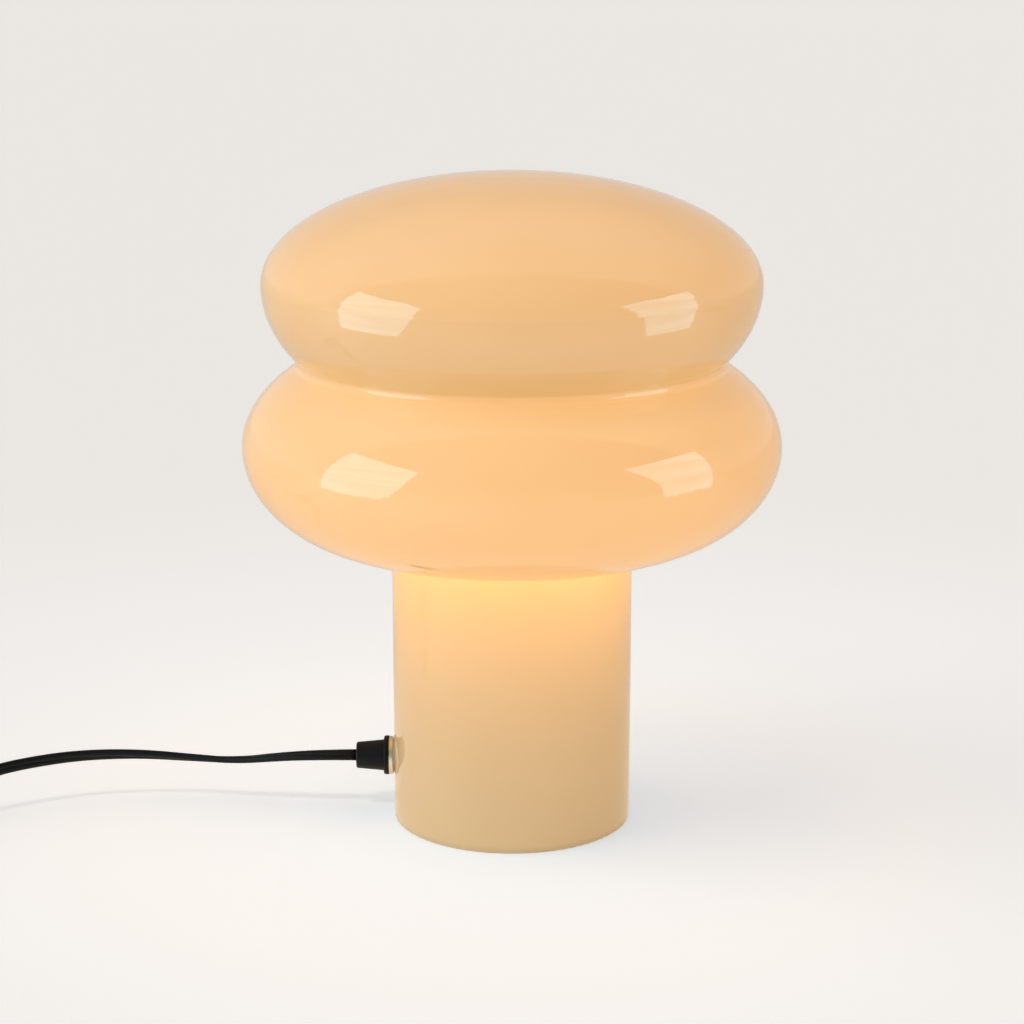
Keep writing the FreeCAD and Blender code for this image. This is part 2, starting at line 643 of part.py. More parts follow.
def bulb_housing():
    """Flared body between screw cap and dome, with a neck that the cap is pressed on."""
    wall, neck = BULB_BODY_WALL, BULB_THREAD_R - THREAD_DEPTH - BULB_CAP_WALL - BULB_PLAY
    bore = neck - 0.8 * wall
    flare = [flare_point(math.radians(18 * k)) for k in range(6)]
    inside = [(r - wall, z + 0.4 * wall) for r, z in flare[:-1]] + [(FLARE_TOP_R - wall, BULB_SEAM_Z)]
    return lathe([(bore, BULB_BODY_Z - BULB_NECK_L), (neck, BULB_BODY_Z - BULB_NECK_L), (neck, BULB_BODY_Z),
                  (FLARE_LOW_R, BULB_BODY_Z)] + flare + inside[::-1] + [(bore, FLARE_LOW_Z)])


def bulb_cap():
    """Screw cap with ring-shaped threads."""
    crest, root = BULB_THREAD_R, BULB_THREAD_R - THREAD_DEPTH
    inside = root - BULB_CAP_WALL
    turns = int((BULB_CAP_L - BULB_COLLAR_L) / THREAD_PITCH)
    start = BULB_CAP_Z + THREAD_PITCH / 2
    threads = [(r, z) for r, z in thread_outline(crest, root, start, turns, 0.0)]
    return lathe([(inside, BULB_CAP_Z), (root, BULB_CAP_Z)] + threads
                 + [(root, threads[-1][1] + 0.15 * THREAD_PITCH), (root, BULB_BODY_Z - BULB_COLLAR_L + 0.5),
                    (crest, BULB_BODY_Z - BULB_COLLAR_L + 1.0), (crest, BULB_BODY_Z), (inside, BULB_BODY_Z)])


def bulb_insulator():
    low, high = BULB_TIP_Z + BULB_TIP_H, BULB_CAP_Z
    inside = BULB_THREAD_R - THREAD_DEPTH - BULB_CAP_WALL
    return lathe([(0, low), (BULB_TIP_R + 0.8, low), (inside + BULB_CAP_WALL / 2, high), (inside - 0.1, high),
                  (inside - 0.1, high + 2.0), (0, high + 2.0)])


def bulb_tip():
    low, edge = BULB_TIP_Z, BULB_TIP_H / 2
    return lathe([(0, low), (BULB_TIP_R - edge, low), (BULB_TIP_R, low + edge), (BULB_TIP_R, low + BULB_TIP_H),
                  (0, low + BULB_TIP_H)])


def bulb_led_board():
    radius = BULB_SEAM_R - BULB_BODY_WALL - 2 * BULB_PLAY
    return rod(radius, BULB_SEAM_Z - LED_BOARD_T, BULB_SEAM_Z)


def bulb_led(k):
    angle = math.radians(360 * k / LED_COUNT)
    x, y = LED_RING_R * math.cos(angle), LED_RING_R * math.sin(angle)
    half = LED_SIZE / 2
    return box((x - half, x + half), (y - half, y + half), (BULB_SEAM_Z, BULB_SEAM_Z + 0.7))


def bulb_driver():
    """Driver board standing in the housing's neck, up to the LED board, with a capacitor on it."""
    low, high = BULB_CAP_Z + 2.0 + BULB_PLAY, BULB_SEAM_Z - LED_BOARD_T
    board = box((-DRIVER_T / 2, DRIVER_T / 2), (-DRIVER_W / 2, DRIVER_W / 2), (low, high))
    return board.fuse(rod(CAPACITOR_R, high - 1.0 - CAPACITOR_L, high - 1.0, DRIVER_T / 2 + CAPACITOR_R - 0.1, 0.0))


def switch_place(shape):
    return shape.translated(Vector(SWITCH_X, SWITCH_Y, 0))


def switch_plan(inset):
    """The case's outline from above: full width in the middle, narrow at both noses."""
    nose, body = SWITCH_L / 2 - inset, SWITCH_BODY_L / 2
    half_nose, half = SWITCH_NOSE_W / 2 - inset, SWITCH_W / 2 - inset
    corners = [(nose, half_nose), (body, half), (-body, half), (-nose, half_nose),
               (-nose, -half_nose), (-body, -half), (body, -half), (nose, -half_nose)]
    points = [Vector(x, y, 0) for x, y in corners]
    return Part.Face(Part.makePolygon(points + points[:1]))


def switch_shell(low, high):
    """The case between two heights, rounded, before it is hollowed."""
    body = switch_plan(0.0).extrude(Vector(0, 0, SWITCH_H))
    uprights = [e for e in body.Edges if e.BoundBox.ZLength > SWITCH_H / 2]
    body = body.makeFillet(SWITCH_CORNER_R, uprights)
    flat_ends = [e for e in body.Edges if e.BoundBox.ZLength < 1e-6]
    body = body.makeFillet(SWITCH_EDGE_R, flat_ends)
    half_l, half_w = SWITCH_L, SWITCH_W
    return body.common(box((-half_l, half_l), (-half_w, half_w), (low, high)))


def switch_hollow(low, high):
    hollow = switch_plan(SWITCH_WALL).extrude(Vector(0, 0, high - low)).translated(Vector(0, 0, low))
    inner_radius = SWITCH_CORNER_R - SWITCH_WALL
    uprights = [e for e in hollow.Edges if e.BoundBox.ZLength > (high - low) / 2]
    return hollow.makeFillet(inner_radius, uprights)


def switch_cord_hole():
    bore = aim(rod(CORD_W / 2 + CORD_PLAY, -SWITCH_L, SWITCH_L), Vector(0, 0, SWITCH_CORD_Z), Vector(1, 0, 0))
    return bore


SCREW_SPOTS = [(SWITCH_SCREW_X, SWITCH_SCREW_Y), (-SWITCH_SCREW_X, -SWITCH_SCREW_Y)]
PIVOT_Z = SWITCH_H - ROCKER_DEPTH


def switch_case_lower():
    case = switch_shell(0.0, SWITCH_CORD_Z).cut(switch_hollow(SWITCH_WALL, SWITCH_CORD_Z))
    for x, y in SCREW_SPOTS:
        case = case.fuse(rod(BOSS_R, SWITCH_WALL, SWITCH_CORD_Z, x, y))
    for x, y in SCREW_SPOTS:
        case = case.cut(rod(SCREW_R + SCREW_PLAY, 0, SWITCH_CORD_Z, x, y))
        case = case.cut(rod(SCREW_HEAD_R + SCREW_PLAY, 0, SCREW_SINK + SCREW_HEAD_H, x, y))
    return switch_place(case.cut(switch_cord_hole()).removeSplitter())


def rocker_window():
    """The opening that the rocker swings in, longer than the rocker by its play at full tilt."""
    corner = math.hypot(ROCKER_HALF, ROCKER_END_H)
    lean = math.atan2(ROCKER_END_H, ROCKER_HALF) - math.radians(ROCKER_TILT)
    half = corner * math.cos(lean) + ROCKER_PLAY
    wide = ROCKER_HALF_W + ROCKER_PLAY
    return box((-half, half), (-wide, wide), (SWITCH_CORD_Z, SWITCH_H))


def switch_case_upper():
    ceiling = SWITCH_H - SWITCH_WALL
    case = switch_shell(SWITCH_CORD_Z, SWITCH_H).cut(switch_hollow(SWITCH_CORD_Z, ceiling))
    for x, y in SCREW_SPOTS:
        case = case.fuse(rod(BOSS_R, SWITCH_CORD_Z, ceiling, x, y))
    inner = ROCKER_HALF_W + ROCKER_PLAY
    for side in (1, -1):
        walls = sorted((side * inner, side * (inner + CHEEK_T)))
        case = case.fuse(box((-CHEEK_HALF, CHEEK_HALF), walls, (PIVOT_Z - CHEEK_BELOW_PIVOT, ceiling)))
    case = case.cut(rocker_window())
    reach = ROCKER_HALF_W + PIVOT_L + ROCKER_PLAY / 2
    case = case.cut(aim(rod(PIVOT_R + PIVOT_PLAY, -reach, reach), Vector(0, 0, PIVOT_Z), Vector(0, 1, 0)))
    for x, y in SCREW_SPOTS:
        case = case.cut(rod(SCREW_R, SWITCH_CORD_Z, SWITCH_CORD_Z + SCREW_INTO_TOP, x, y))
    return switch_place(case.cut(switch_cord_hole()).removeSplitter())


def switch_screw(x, y):
    head_top = SCREW_SINK + SCREW_HEAD_H
    screw = rod(SCREW_HEAD_R, SCREW_SINK, head_top, x, y).fuse(
        rod(SCREW_R - SCREW_PLAY / 2, head_top, SWITCH_CORD_Z + SCREW_INTO_TOP - SCREW_PLAY, x, y))
    cross = [box((x - a, x + a), (y - b, y + b), (SCREW_SINK, SCREW_SINK + 1.0)) for a, b in ((1.6, 0.3), (0.3, 1.6))]
    return switch_place(screw.cut(cross[0]).cut(cross[1]))


def tilted(shape, degrees, height):
    """Tilts a shape about a crosswise pivot at a height in the switch."""
    turned = shape.copy()
    turned.rotate(Vector(0, 0, height), Vector(0, 1, 0), degrees)
    return switch_place(turned)


def switch_rocker():
    """Rocker with two pivots and a hollow stem, shown pressed down at its far end."""
    half, play = ROCKER_HALF, ROCKER_PLAY
    outline = [(-half - 0.7, 1.0), (-half, ROCKER_END_H), (0, ROCKER_MIDDLE_H), (half, ROCKER_END_H),
               (half + 0.7, 1.0), (half - 1.8, -1.0), (ROCKER_STEM_R, -1.8), (-ROCKER_STEM_R, -1.8), (-half + 1.8, -1.0)]
    points = [Vector(x, -ROCKER_HALF_W, PIVOT_Z + z) for x, z in outline]
    body = Part.Face(Part.makePolygon(points + points[:1])).extrude(Vector(0, 2 * ROCKER_HALF_W, 0))
    ends = [e for e in body.Edges if e.BoundBox.YLength > ROCKER_HALF_W
            and abs(e.BoundBox.ZMax - PIVOT_Z - ROCKER_END_H) < 1e-6]
    body = body.makeFillet(2 * play, ends)
    pivot = ROCKER_HALF_W + PIVOT_L
    body = body.fuse(aim(rod(PIVOT_R, -pivot, pivot), Vector(0, 0, PIVOT_Z), Vector(0, 1, 0)))
    body = body.fuse(rod(ROCKER_STEM_R, PIVOT_Z - ROCKER_STEM_L, PIVOT_Z))
    body = body.cut(rod(PLUNGER_R + PLUNGER_PLAY, PIVOT_Z - ROCKER_STEM_L, PIVOT_Z))
    return tilted(body.removeSplitter(), -ROCKER_TILT, PIVOT_Z)


def switch_plunger():
    centre = PIVOT_Z - PLUNGER_REACH
    pin = rod(PLUNGER_R, centre, PIVOT_Z - SPRING_L).fuse(Part.makeSphere(PLUNGER_BALL_R, Vector(0, 0, centre)))
    return tilted(pin, -ROCKER_TILT, PIVOT_Z)


def switch_spring():
    """The small coil spring between the plunger and the blind end of the rocker's stem."""
    radius = PLUNGER_R - 2 * SPRING_WIRE_R
    low, high = PIVOT_Z - SPRING_L + SPRING_WIRE_R, PIVOT_Z - SPRING_WIRE_R

    def at(quarter):
        angle, share = math.pi / 2 * quarter, quarter / (4 * SPRING_TURNS)
        return Vector(radius * math.cos(angle), radius * math.sin(angle), low + (high - low) * share)

    def heading(quarter):
        return (at(quarter + 1e-4) - at(quarter - 1e-4)).normalize()

    edges = []
    for k in range(4 * SPRING_TURNS):
        edges += biarc(at(k), heading(k), at(k + 1), heading(k + 1))
    return tilted(round_tube(Part.Wire(edges), SPRING_WIRE_R), -ROCKER_TILT, PIVOT_Z)


def blade_rib(radius):
    """The round rib across the blade's underside that it rocks on, or the groove that the rib lies in."""
    return aim(rod(radius, -BLADE_W / 2, BLADE_W / 2), Vector(0, 0, BLADE_Z - BLADE_PLAY), Vector(0, 1, 0))


def switch_blade():
    half_l, half_w = BLADE_L / 2, BLADE_W / 2
    blade = box((-half_l, half_l), (-half_w, half_w), (BLADE_Z, BLADE_Z + BLADE_T)).fuse(blade_rib(BLADE_RIB_R))
    return tilted(blade, BLADE_TILT, BLADE_Z - BLADE_PLAY)


def terminal_with_strip(side, post_x, post_half, post_top):
    """A terminal block on the case floor, its strip, and the post that the blade meets."""
    t, half_w = STRIP_CONTACT_T, BLADE_W / 2
    floor, far = SWITCH_WALL, TERMINAL_X + BLOCK / 2
    strip_x = sorted((side * far, post_x - side * post_half))
    block_x = sorted((side * far, side * (far - BLOCK)))
    block = box(block_x, (-half_w, half_w), (floor, floor + TERMINAL_H))
    strip = box(strip_x, (-half_w, half_w), (floor, floor + t))
    post = box((post_x - post_half, post_x + post_half), (-half_w, half_w), (floor, post_top))
    body = block.fuse(strip).fuse(post).removeSplitter()
    bore = rod(BLOCK_SCREW_R, floor + TERMINAL_H / 2, floor + TERMINAL_H, side * TERMINAL_X, 0.0)
    return switch_place(body.cut(bore))


def switch_contact_fixed():
    lean = math.radians(BLADE_TILT)
    touch = BLADE_Z - BLADE_PLAY - CONTACT_X * math.sin(lean) + BLADE_PLAY * math.cos(lean)
    return terminal_with_strip(1, CONTACT_X, 0.6, touch - BLADE_PLAY)


def switch_contact_pivot():
    contact = terminal_with_strip(-1, 0.0, 2 * BLADE_RIB_R, BLADE_Z - 2 * BLADE_PLAY)
    return contact.cut(switch_place(blade_rib(BLADE_RIB_R + BLADE_PLAY)))


def switch_neutral_link():
    low, high = SWITCH_WALL, SWITCH_WALL + TERMINAL_H
    link = box((-LINK_L / 2, LINK_L / 2), (-LINK_Y - LINK_W / 2, -LINK_Y + LINK_W / 2), (low, high))
    for x in (-LINK_L / 3, LINK_L / 3):
        link = link.cut(rod(BLOCK_SCREW_R, (low + high) / 2, high, x, -LINK_Y))
    return switch_place(link)


def switch_terminal_screws():
    spots = [(TERMINAL_X, 0.0), (-TERMINAL_X, 0.0), (LINK_L / 3, -LINK_Y), (-LINK_L / 3, -LINK_Y)]
    top = SWITCH_WALL + TERMINAL_H
    screws = []
    for x, y in spots:
        screw = rod(BLOCK_SCREW_R, (top + SWITCH_WALL) / 2, top, x, y)
        head = rod(1.6 * BLOCK_SCREW_R, top, top + 1.0, x, y)
        screws.append(switch_place(screw.fuse(head).cut(box((x - 2, x + 2), (y - 0.2, y + 0.2), (top + 0.5, top + 1.0)))))
    return screws


def switch_sheath(side):
    """The end of the cord inside the case, up to the terminals."""
    outer = SWITCH_L / 2
    place = Vector(side * outer, 0, SWITCH_CORD_Z)
    section = Part.Face(stadium(CORD_W, CORD_T, place, Vector(1, 0, 0), Vector(0, 1, 0)))
    return switch_place(section.extrude(Vector(-side * SHEATH_IN_SWITCH, 0, 0)))


def biarc(start, heading, end, leaving):
    """Two arcs that join a point and heading to another, with no kink between them."""
    across, sum_of_headings = end - start, heading + leaving
    a = 2 * (1 - heading.dot(leaving))
    b = across.dot(sum_of_headings)
    reach = (-b + math.sqrt(b * b + a * across.dot(across))) / a
    joint = (start + end + (heading - leaving) * reach) / 2
    edges = []
    for first, way, last in ((start, heading, joint), (end, leaving * -1, joint)):
        chord = last - first
        half_angle = way.getAngle(chord)
        sideways = (chord - way * chord.dot(way)).normalize()
        radius = chord.Length / (2 * math.sin(half_angle))
        centre = first + sideways * radius
        middle = centre + ((first + last) / 2 - centre).normalize() * radius
        edges.append(Part.Arc(first, middle, last).toShape())
    return edges


def coil_point(turn):
    """The middle of the cord after some turns: it spirals in, climbs a layer, and spirals out again."""
    spiral_end = COIL_TURNS_EACH + COIL_CLIMB_TURNS
    inward = min(turn, COIL_TURNS_EACH)
    outward = max(turn - spiral_end, 0.0)
    climb = min(max(turn - COIL_TURNS_EACH, 0.0) / COIL_CLIMB_TURNS, 1.0)
    smooth = climb * climb * (3 - 2 * climb)
    inset = COIL_CLIMB_INSET * math.sin(math.pi * climb) ** 2
    radius = COIL_OUTER_R - COIL_PITCH * (inward - outward) - inset
    angle = -math.pi / 2 - 2 * math.pi * turn
    return Vector(COIL_X + radius * math.cos(angle), COIL_Y + radius * math.sin(angle), COIL_Z + COIL_LAYER * smooth)


def coil_heading(turn, turns):
    """The cord's direction there, square to the coil's radius at its two ends."""
    step = 1e-5
    if turn < step or turn > turns - step:
        return Vector(-1, 0, 0)
    way = coil_point(turn + step) - coil_point(turn - step)
    return way.normalize()


def least_gap(points, apart):
    """The smallest distance between stretches of a line that are further apart along it than a length."""
    cell, cells = 2 * CORD_TUBE_D, {}
    for k, p in enumerate(points):
        cells.setdefault((int(p.x // cell), int(p.y // cell), int(p.z // cell)), []).append(k)
    least = math.inf
    steps = [(i, j, k) for i in (-1, 0, 1) for j in (-1, 0, 1) for k in (-1, 0, 1)]
    for (i, j, k), members in cells.items():
        near = [m for a, b, c in steps for m in cells.get((i + a, j + b, k + c), [])]
        for m in members:
            least = min([least] + [(points[m] - points[n]).Length for n in near if n - m > apart])
    return least - CORD_TUBE_D


def cord_coil():
    """One tube in two layers of turns, with a straight end of one diameter at each side."""
    turns = 2 * COIL_TURNS_EACH + COIL_CLIMB_TURNS
    quarters = round(4 * turns)
    marks = [turns * k / quarters for k in range(quarters + 1)]
    first, last = coil_point(0.0), coil_point(turns)
    lead = Vector(CORD_TUBE_D, 0, 0)
    edges = [Part.makeLine(first + lead, first)]
    for a, b in zip(marks, marks[1:]):
        edges += biarc(coil_point(a), coil_heading(a, turns), coil_point(b), coil_heading(b, turns))
    edges.append(Part.makeLine(last, last - lead))
    path = Part.Wire(edges)
    samples = path.discretize(Number=1600)
    spacing = path.Length / 1600
    gap = least_gap(samples, int(4 * CORD_TUBE_D / spacing))
    solid = round_tube(path, CORD_TUBE_D / 2)
    share = solid.Volume / (math.pi * CORD_TUBE_D**2 / 4 * path.Length)
    print(f"cord_coil: {path.Length:.0f} mm long, volume {share:.4f} of section times length, least gap {gap:.2f} mm")
    return solid


def coil_tie(side):
    """A strap round all the turns at one side of the coil."""
    least_r = COIL_OUTER_R - COIL_PITCH * COIL_TURNS_EACH - CORD_TUBE_D / 2
    inner_r = math.sqrt(least_r**2 - (TIE_W / 2) ** 2) - TIE_GAP
    outer_r = COIL_OUTER_R + CORD_TUBE_D / 2 + TIE_GAP
    low, high = TIE_T, COIL_END_Z + CORD_TUBE_D / 2 + TIE_GAP
    x = sorted((COIL_X + side * inner_r, COIL_X + side * outer_r))
    y = (COIL_Y - TIE_W / 2, COIL_Y + TIE_W / 2)
    outer = box((x[0] - TIE_T, x[1] + TIE_T), y, (low - TIE_T, high + TIE_T))
    long_edges = [e for e in outer.Edges if e.BoundBox.YLength > TIE_W / 2]
    return outer.makeFillet(2 * TIE_T, long_edges).cut(box(x, y, (low, high)))


def plug_place(shape):
    """Puts a shape made along Z from the cord's end onto the plug's axis, its Z pointing away from the cord."""
    placed = shape.copy()
    placed.rotate(Vector(0, 0, 0), UP, 90)
    placed.rotate(Vector(0, 0, 0), Vector(0, 1, 0), -90)
    return placed.translated(Vector(PLUG_X, PLUG_Y, PLUG_Z))


def plug_body():
    """Flat body with sloped shoulders and a tapered strain relief."""
    low, high = PLUG_RELIEF_L, PLUG_RELIEF_L + PLUG_L
    half_neck, half = PLUG_NECK_W / 2, PLUG_W / 2
    outline = [(half_neck, low), (half, low + PLUG_SHOULDER_L), (half, high), (-half, high),
               (-half, low + PLUG_SHOULDER_L), (-half_neck, low)]
    points = [Vector(x, -PLUG_T / 2, z) for x, z in outline]
    body = Part.Face(Part.makePolygon(points + points[:1])).extrude(Vector(0, PLUG_T, 0))
    body = body.makeFillet(PLUG_ROUND, body.Edges)
    relief = Part.makeCone(PLUG_RELIEF_TIP_R, PLUG_RELIEF_ROOT_R, PLUG_RELIEF_L + 1.0)
    body = body.fuse(relief).removeSplitter()
    for x in (-PIN_APART / 2, PIN_APART / 2):
        body = body.cut(rod(PIN_ROOT_R, high - PIN_IN_BODY, high, x, 0.0))
    return plug_place(body)


def plug_pin(side):
    """A round pin: a thin root that the sleeve covers, and a full-size bare tip."""
    face, x = PLUG_RELIEF_L + PLUG_L, side * PIN_APART / 2
    tip = rod(PIN_R, face + PIN_SLEEVE_L, face + PIN_SLEEVE_L + PIN_TIP_L, x, 0.0)
    end = [e for e in tip.Edges if abs(e.BoundBox.ZMin - face - PIN_SLEEVE_L - PIN_TIP_L) < 1e-6]
    tip = tip.makeFillet(PIN_END_ROUND, end)
    return plug_place(tip.fuse(rod(PIN_ROOT_R, face - PIN_IN_BODY, face + PIN_SLEEVE_L, x, 0.0)))


def plug_pin_sleeve(side):
    face, x = PLUG_RELIEF_L + PLUG_L, side * PIN_APART / 2
    sleeve = rod(PIN_SLEEVE_R, face, face + PIN_SLEEVE_L, x, 0.0)
    return plug_place(sleeve.cut(rod(PIN_ROOT_R, face, face + PIN_SLEEVE_L, x, 0.0)))


def pair(make):
    return [make(1), make(-1)]


def all_nodes():
    arm_top = ARM_Z + STRIP_T
    return {
        "glass_body": [glass_body()],
        "gland_seal_outer": [gland_seal_outer()],
        "gland_ring": [on_gland(ring(RING_R, TUBE_R + TUBE_FIT, STEM_R + SEAL_T, RELIEF_FACE))],
        "strain_relief": [strain_relief()],
        "gland_nipple": [on_gland(ring(TUBE_R, TUBE_BORE_R, NIPPLE_IN, NIPPLE_OUT))],
        "gland_seal_inner": [gland_seal_inner()],
        "gland_washer": [on_gland(washer(WASHER_R, TAB_INNER - WASHER_T, WASHER_T))],
        "gland_nut": [on_gland(hex_nut(TAB_INNER - WASHER_T - NUT_H))],
        "bracket": [bracket()],
        "riser_tube": [ring(TUBE_R, TUBE_BORE_R, RISER_BOTTOM, RISER_TOP)],
        "riser_washers": [washer(WASHER_R, ARM_Z - WASHER_T, WASHER_T), washer(WASHER_R, arm_top, WASHER_T)],
        "riser_nuts": [hex_nut(ARM_Z - WASHER_T - NUT_H), hex_nut(arm_top + WASHER_T)],
        "inner_lead": [inner_lead()],
        "wire_live": [inner_wire(1)],
        "wire_neutral": [inner_wire(-1)],
        "holder_cap": [holder_cap()],
        "holder_grub_screw": [holder_grub_screw()],
        "holder_sleeve": [holder_sleeve()],
        "holder_core": [holder_core()],
        "contact_shell": [contact_shell()],
        "contact_centre": [contact_centre()],
        "terminal_blocks": pair(terminal_block),
        "terminal_screws": pair(terminal_screw),
        "bulb_dome": [bulb_dome()],
        "bulb_housing": [bulb_housing()],
        "bulb_led_board": [bulb_led_board()],
        "bulb_leds": [bulb_led(k) for k in range(LED_COUNT)],
        "bulb_driver": [bulb_driver()],
        "bulb_cap": [bulb_cap()],
        "bulb_insulator": [bulb_insulator()],
        "bulb_tip": [bulb_tip()],
        "cord_lead": [cord_tube(LEAD_POINTS, "cord_lead")],
        "switch_case_lower": [switch_case_lower()],
        "switch_case_upper": [switch_case_upper()],
        "switch_screws": [switch_screw(x, y) for x, y in SCREW_SPOTS],
        "switch_rocker": [switch_rocker()],
        "switch_plunger": [switch_plunger()],
        "switch_spring": [switch_spring()],
        "switch_blade": [switch_blade()],
        "switch_contact_fixed": [switch_contact_fixed()],
        "switch_contact_pivot": [switch_contact_pivot()],
        "switch_neutral_link": [switch_neutral_link()],
        "switch_terminal_screws": switch_terminal_screws(),
        "switch_sheaths": pair(switch_sheath),
        "cord_run": [cord_tube(RUN_POINTS, "cord_run")],
        "cord_coil": [cord_coil()],
        "coil_ties": pair(coil_tie),
        "cord_tail": [cord_tube(TAIL_POINTS, "cord_tail")],
        "plug_body": [plug_body()],
        "plug_pins": pair(plug_pin),
        "plug_pin_sleeves": pair(plug_pin_sleeve),
    }


os.makedirs("parts", exist_ok=True)
for name, solids in all_nodes().items():
    shape = solids[0] if len(solids) == 1 else Part.makeCompound(solids)
    shape.exportStep(f"parts/{name}.step")
    box_of = shape.BoundBox
    print(f"{name}: {len(shape.Solids)} solids, valid {shape.isValid()}, {shape.Volume:.0f} mm3, "
          f"z {box_of.ZMin:.2f} to {box_of.ZMax:.2f}")
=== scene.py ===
import json
import math

import bpy
import numpy as np
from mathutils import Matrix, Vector


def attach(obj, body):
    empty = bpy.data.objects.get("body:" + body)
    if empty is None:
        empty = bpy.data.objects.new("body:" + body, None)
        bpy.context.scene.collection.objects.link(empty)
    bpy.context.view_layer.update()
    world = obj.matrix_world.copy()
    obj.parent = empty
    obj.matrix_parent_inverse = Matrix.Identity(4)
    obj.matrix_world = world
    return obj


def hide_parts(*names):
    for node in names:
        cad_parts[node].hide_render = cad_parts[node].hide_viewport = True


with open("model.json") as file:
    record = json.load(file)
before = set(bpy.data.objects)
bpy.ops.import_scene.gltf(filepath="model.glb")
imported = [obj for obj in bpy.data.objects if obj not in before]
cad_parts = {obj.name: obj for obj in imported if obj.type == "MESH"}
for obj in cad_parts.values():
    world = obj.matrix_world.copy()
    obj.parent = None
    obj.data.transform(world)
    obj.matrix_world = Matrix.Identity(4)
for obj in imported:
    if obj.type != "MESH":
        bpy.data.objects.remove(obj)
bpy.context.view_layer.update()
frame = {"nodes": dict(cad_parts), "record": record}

# Looks of the lit mushroom table lamp, in metres, in the CAD model's own frame. The order is camera, cord,
# finishes, floor and lights.
nodes = frame["nodes"]
scene = bpy.context.scene


def put_in_scene(name, data):
    """A new object that shows this mesh, lamp or camera."""
    thing = bpy.data.objects.new(name, data)
    scene.collection.objects.link(thing)
    return thing


def turn_towards(thing, place, aim):
    """Puts a camera or lamp at a place, turned towards the point that it looks at or lights."""
    thing.location = place
    thing.rotation_euler = (Vector(aim) - Vector(place)).to_track_quat("-Z", "Y").to_euler()


# ---------------------------------------------------------------- camera

# These give the lamp the place, size and ellipses that it has in the photograph.
CAMERA_AT = (0.0, -1.1668, 0.4287)
CAMERA_AIM = (0.0, 0.0, 0.1486)
SENSOR_MM = 36.0
LENS_MM = 90.11

camera = put_in_scene("photo_camera", bpy.data.cameras.new("photo_camera"))
turn_towards(camera, CAMERA_AT, CAMERA_AIM)
camera.data.sensor_width = SENSOR_MM
camera.data.lens = LENS_MM
scene.camera = camera


# ---------------------------------------------------------------- cord

CORD_WIDE = 0.0056          # two cores side by side
CORD_THICK = 0.0032
CORD_DIP = 0.0003           # depth of the valley between the cores
CORD_DIP_WIDE = 0.0004      # from the valley's middle to where it is 1 / e as deep
END_POINTS = 9              # of the section, on each round end
SIDE_POINTS = 11            # of the section, on each flat side between the ends

# The routes of part.py, in metres
LEAD = [(-0.0744, 0, 0.029), (-0.090, 0, 0.029), (-0.110, 0.0034, 0.027), (-0.133, 0.009, 0.023),
        (-0.156, 0.0126, 0.0234), (-0.180, 0.0116, 0.0256), (-0.206, 0.0082, 0.0262), (-0.228, 0.0006, 0.0256),
        (-0.247, -0.0096, 0.0244), (-0.2645, -0.0196, 0.020), (-0.279, -0.0272, 0.0134), (-0.2934, -0.030, 0.008),
        (-0.307, -0.030, 0.008)]
RUN = [(-0.375, -0.030, 0.008), (-0.387, -0.030, 0.008), (-0.402, -0.033, 0.0056), (-0.417, -0.0378, 0.0041),
       (-0.433, -0.041, 0.0036), (-0.4466, -0.041, 0.0036)]
TAIL = [(-0.4574, -0.041, 0.0096), (-0.469, -0.041, 0.0096), (-0.482, -0.0417, 0.0082),
        (-0.495, -0.041, 0.00685), (-0.507, -0.041, 0.00685)]

# The coil between them: turns inwards on the floor, a climb to the upper layer, and turns outwards again above
COIL_MIDDLE = (-0.452, 0.0015)
COIL_RADIUS = 0.0425        # of its outermost turn
COIL_STEP = 0.006           # from turn to turn, and from layer to layer
COIL_LOW = 0.0036           # height of the lower layer
COIL_TURNS = 7
INWARD_TURNS = 3.25
CLIMB_TURNS = 0.5
CLIMB_PINCH = 0.0014        # by which the climb's middle lies further inwards
TURN_POINTS = 16

# How the cord turns over on its way out of the lamp, as the photograph shows: how far along, and the degrees from
# upright to its wide axis. It leans at the gland, is flat at 50 mm, on edge at 154 mm and flat at the switch.
TWIST_AT = (0.002, 0.050, 0.084, 0.103, 0.131, 0.154, 0.195, 0.238)
TWIST_DEGREES = (44.0, 90.0, 127.0, 134.0, 164.0, 180.0, 222.0, 270.0)

# Past the switch it turns on edge over the first length, and before the plug flat again over the second.
ON_EDGE_OVER = 0.055
FLAT_AGAIN_OVER = 0.045


def eased(value):
    """0 below 0, 1 above 1 and the smooth step 3 v2 - 2 v3 between."""
    value = np.clip(value, 0.0, 1.0)
    return value ** 2 * (3 - 2 * value)


def coil_points():
    """The coil's control points, clockwise from above. The radius loses one step a turn on the floor and gains it
    again above, less the pinch times the squared sine over the climb, where the height gains one eased step. A
    control point lies outside the line that it draws by 1 / cos(pi / points a turn), so the radius is that much
    larger."""
    turn = np.arange(1, COIL_TURNS * TURN_POINTS) / TURN_POINTS
    inward = np.minimum(turn, INWARD_TURNS)
    outward = np.maximum(turn - INWARD_TURNS - CLIMB_TURNS, 0.0)
    climb = np.clip((turn - INWARD_TURNS) / CLIMB_TURNS, 0.0, 1.0)
    radius = COIL_RADIUS - COIL_STEP * (inward - outward) - CLIMB_PINCH * np.sin(np.pi * climb) ** 2
    radius = radius / math.cos(math.pi / TURN_POINTS)
    angle = -np.pi / 2 - 2 * np.pi * turn
    rise = COIL_LOW + COIL_STEP * eased(climb)
    return np.stack([COIL_MIDDLE[0] + radius * np.cos(angle), COIL_MIDDLE[1] + radius * np.sin(angle), rise], 1)


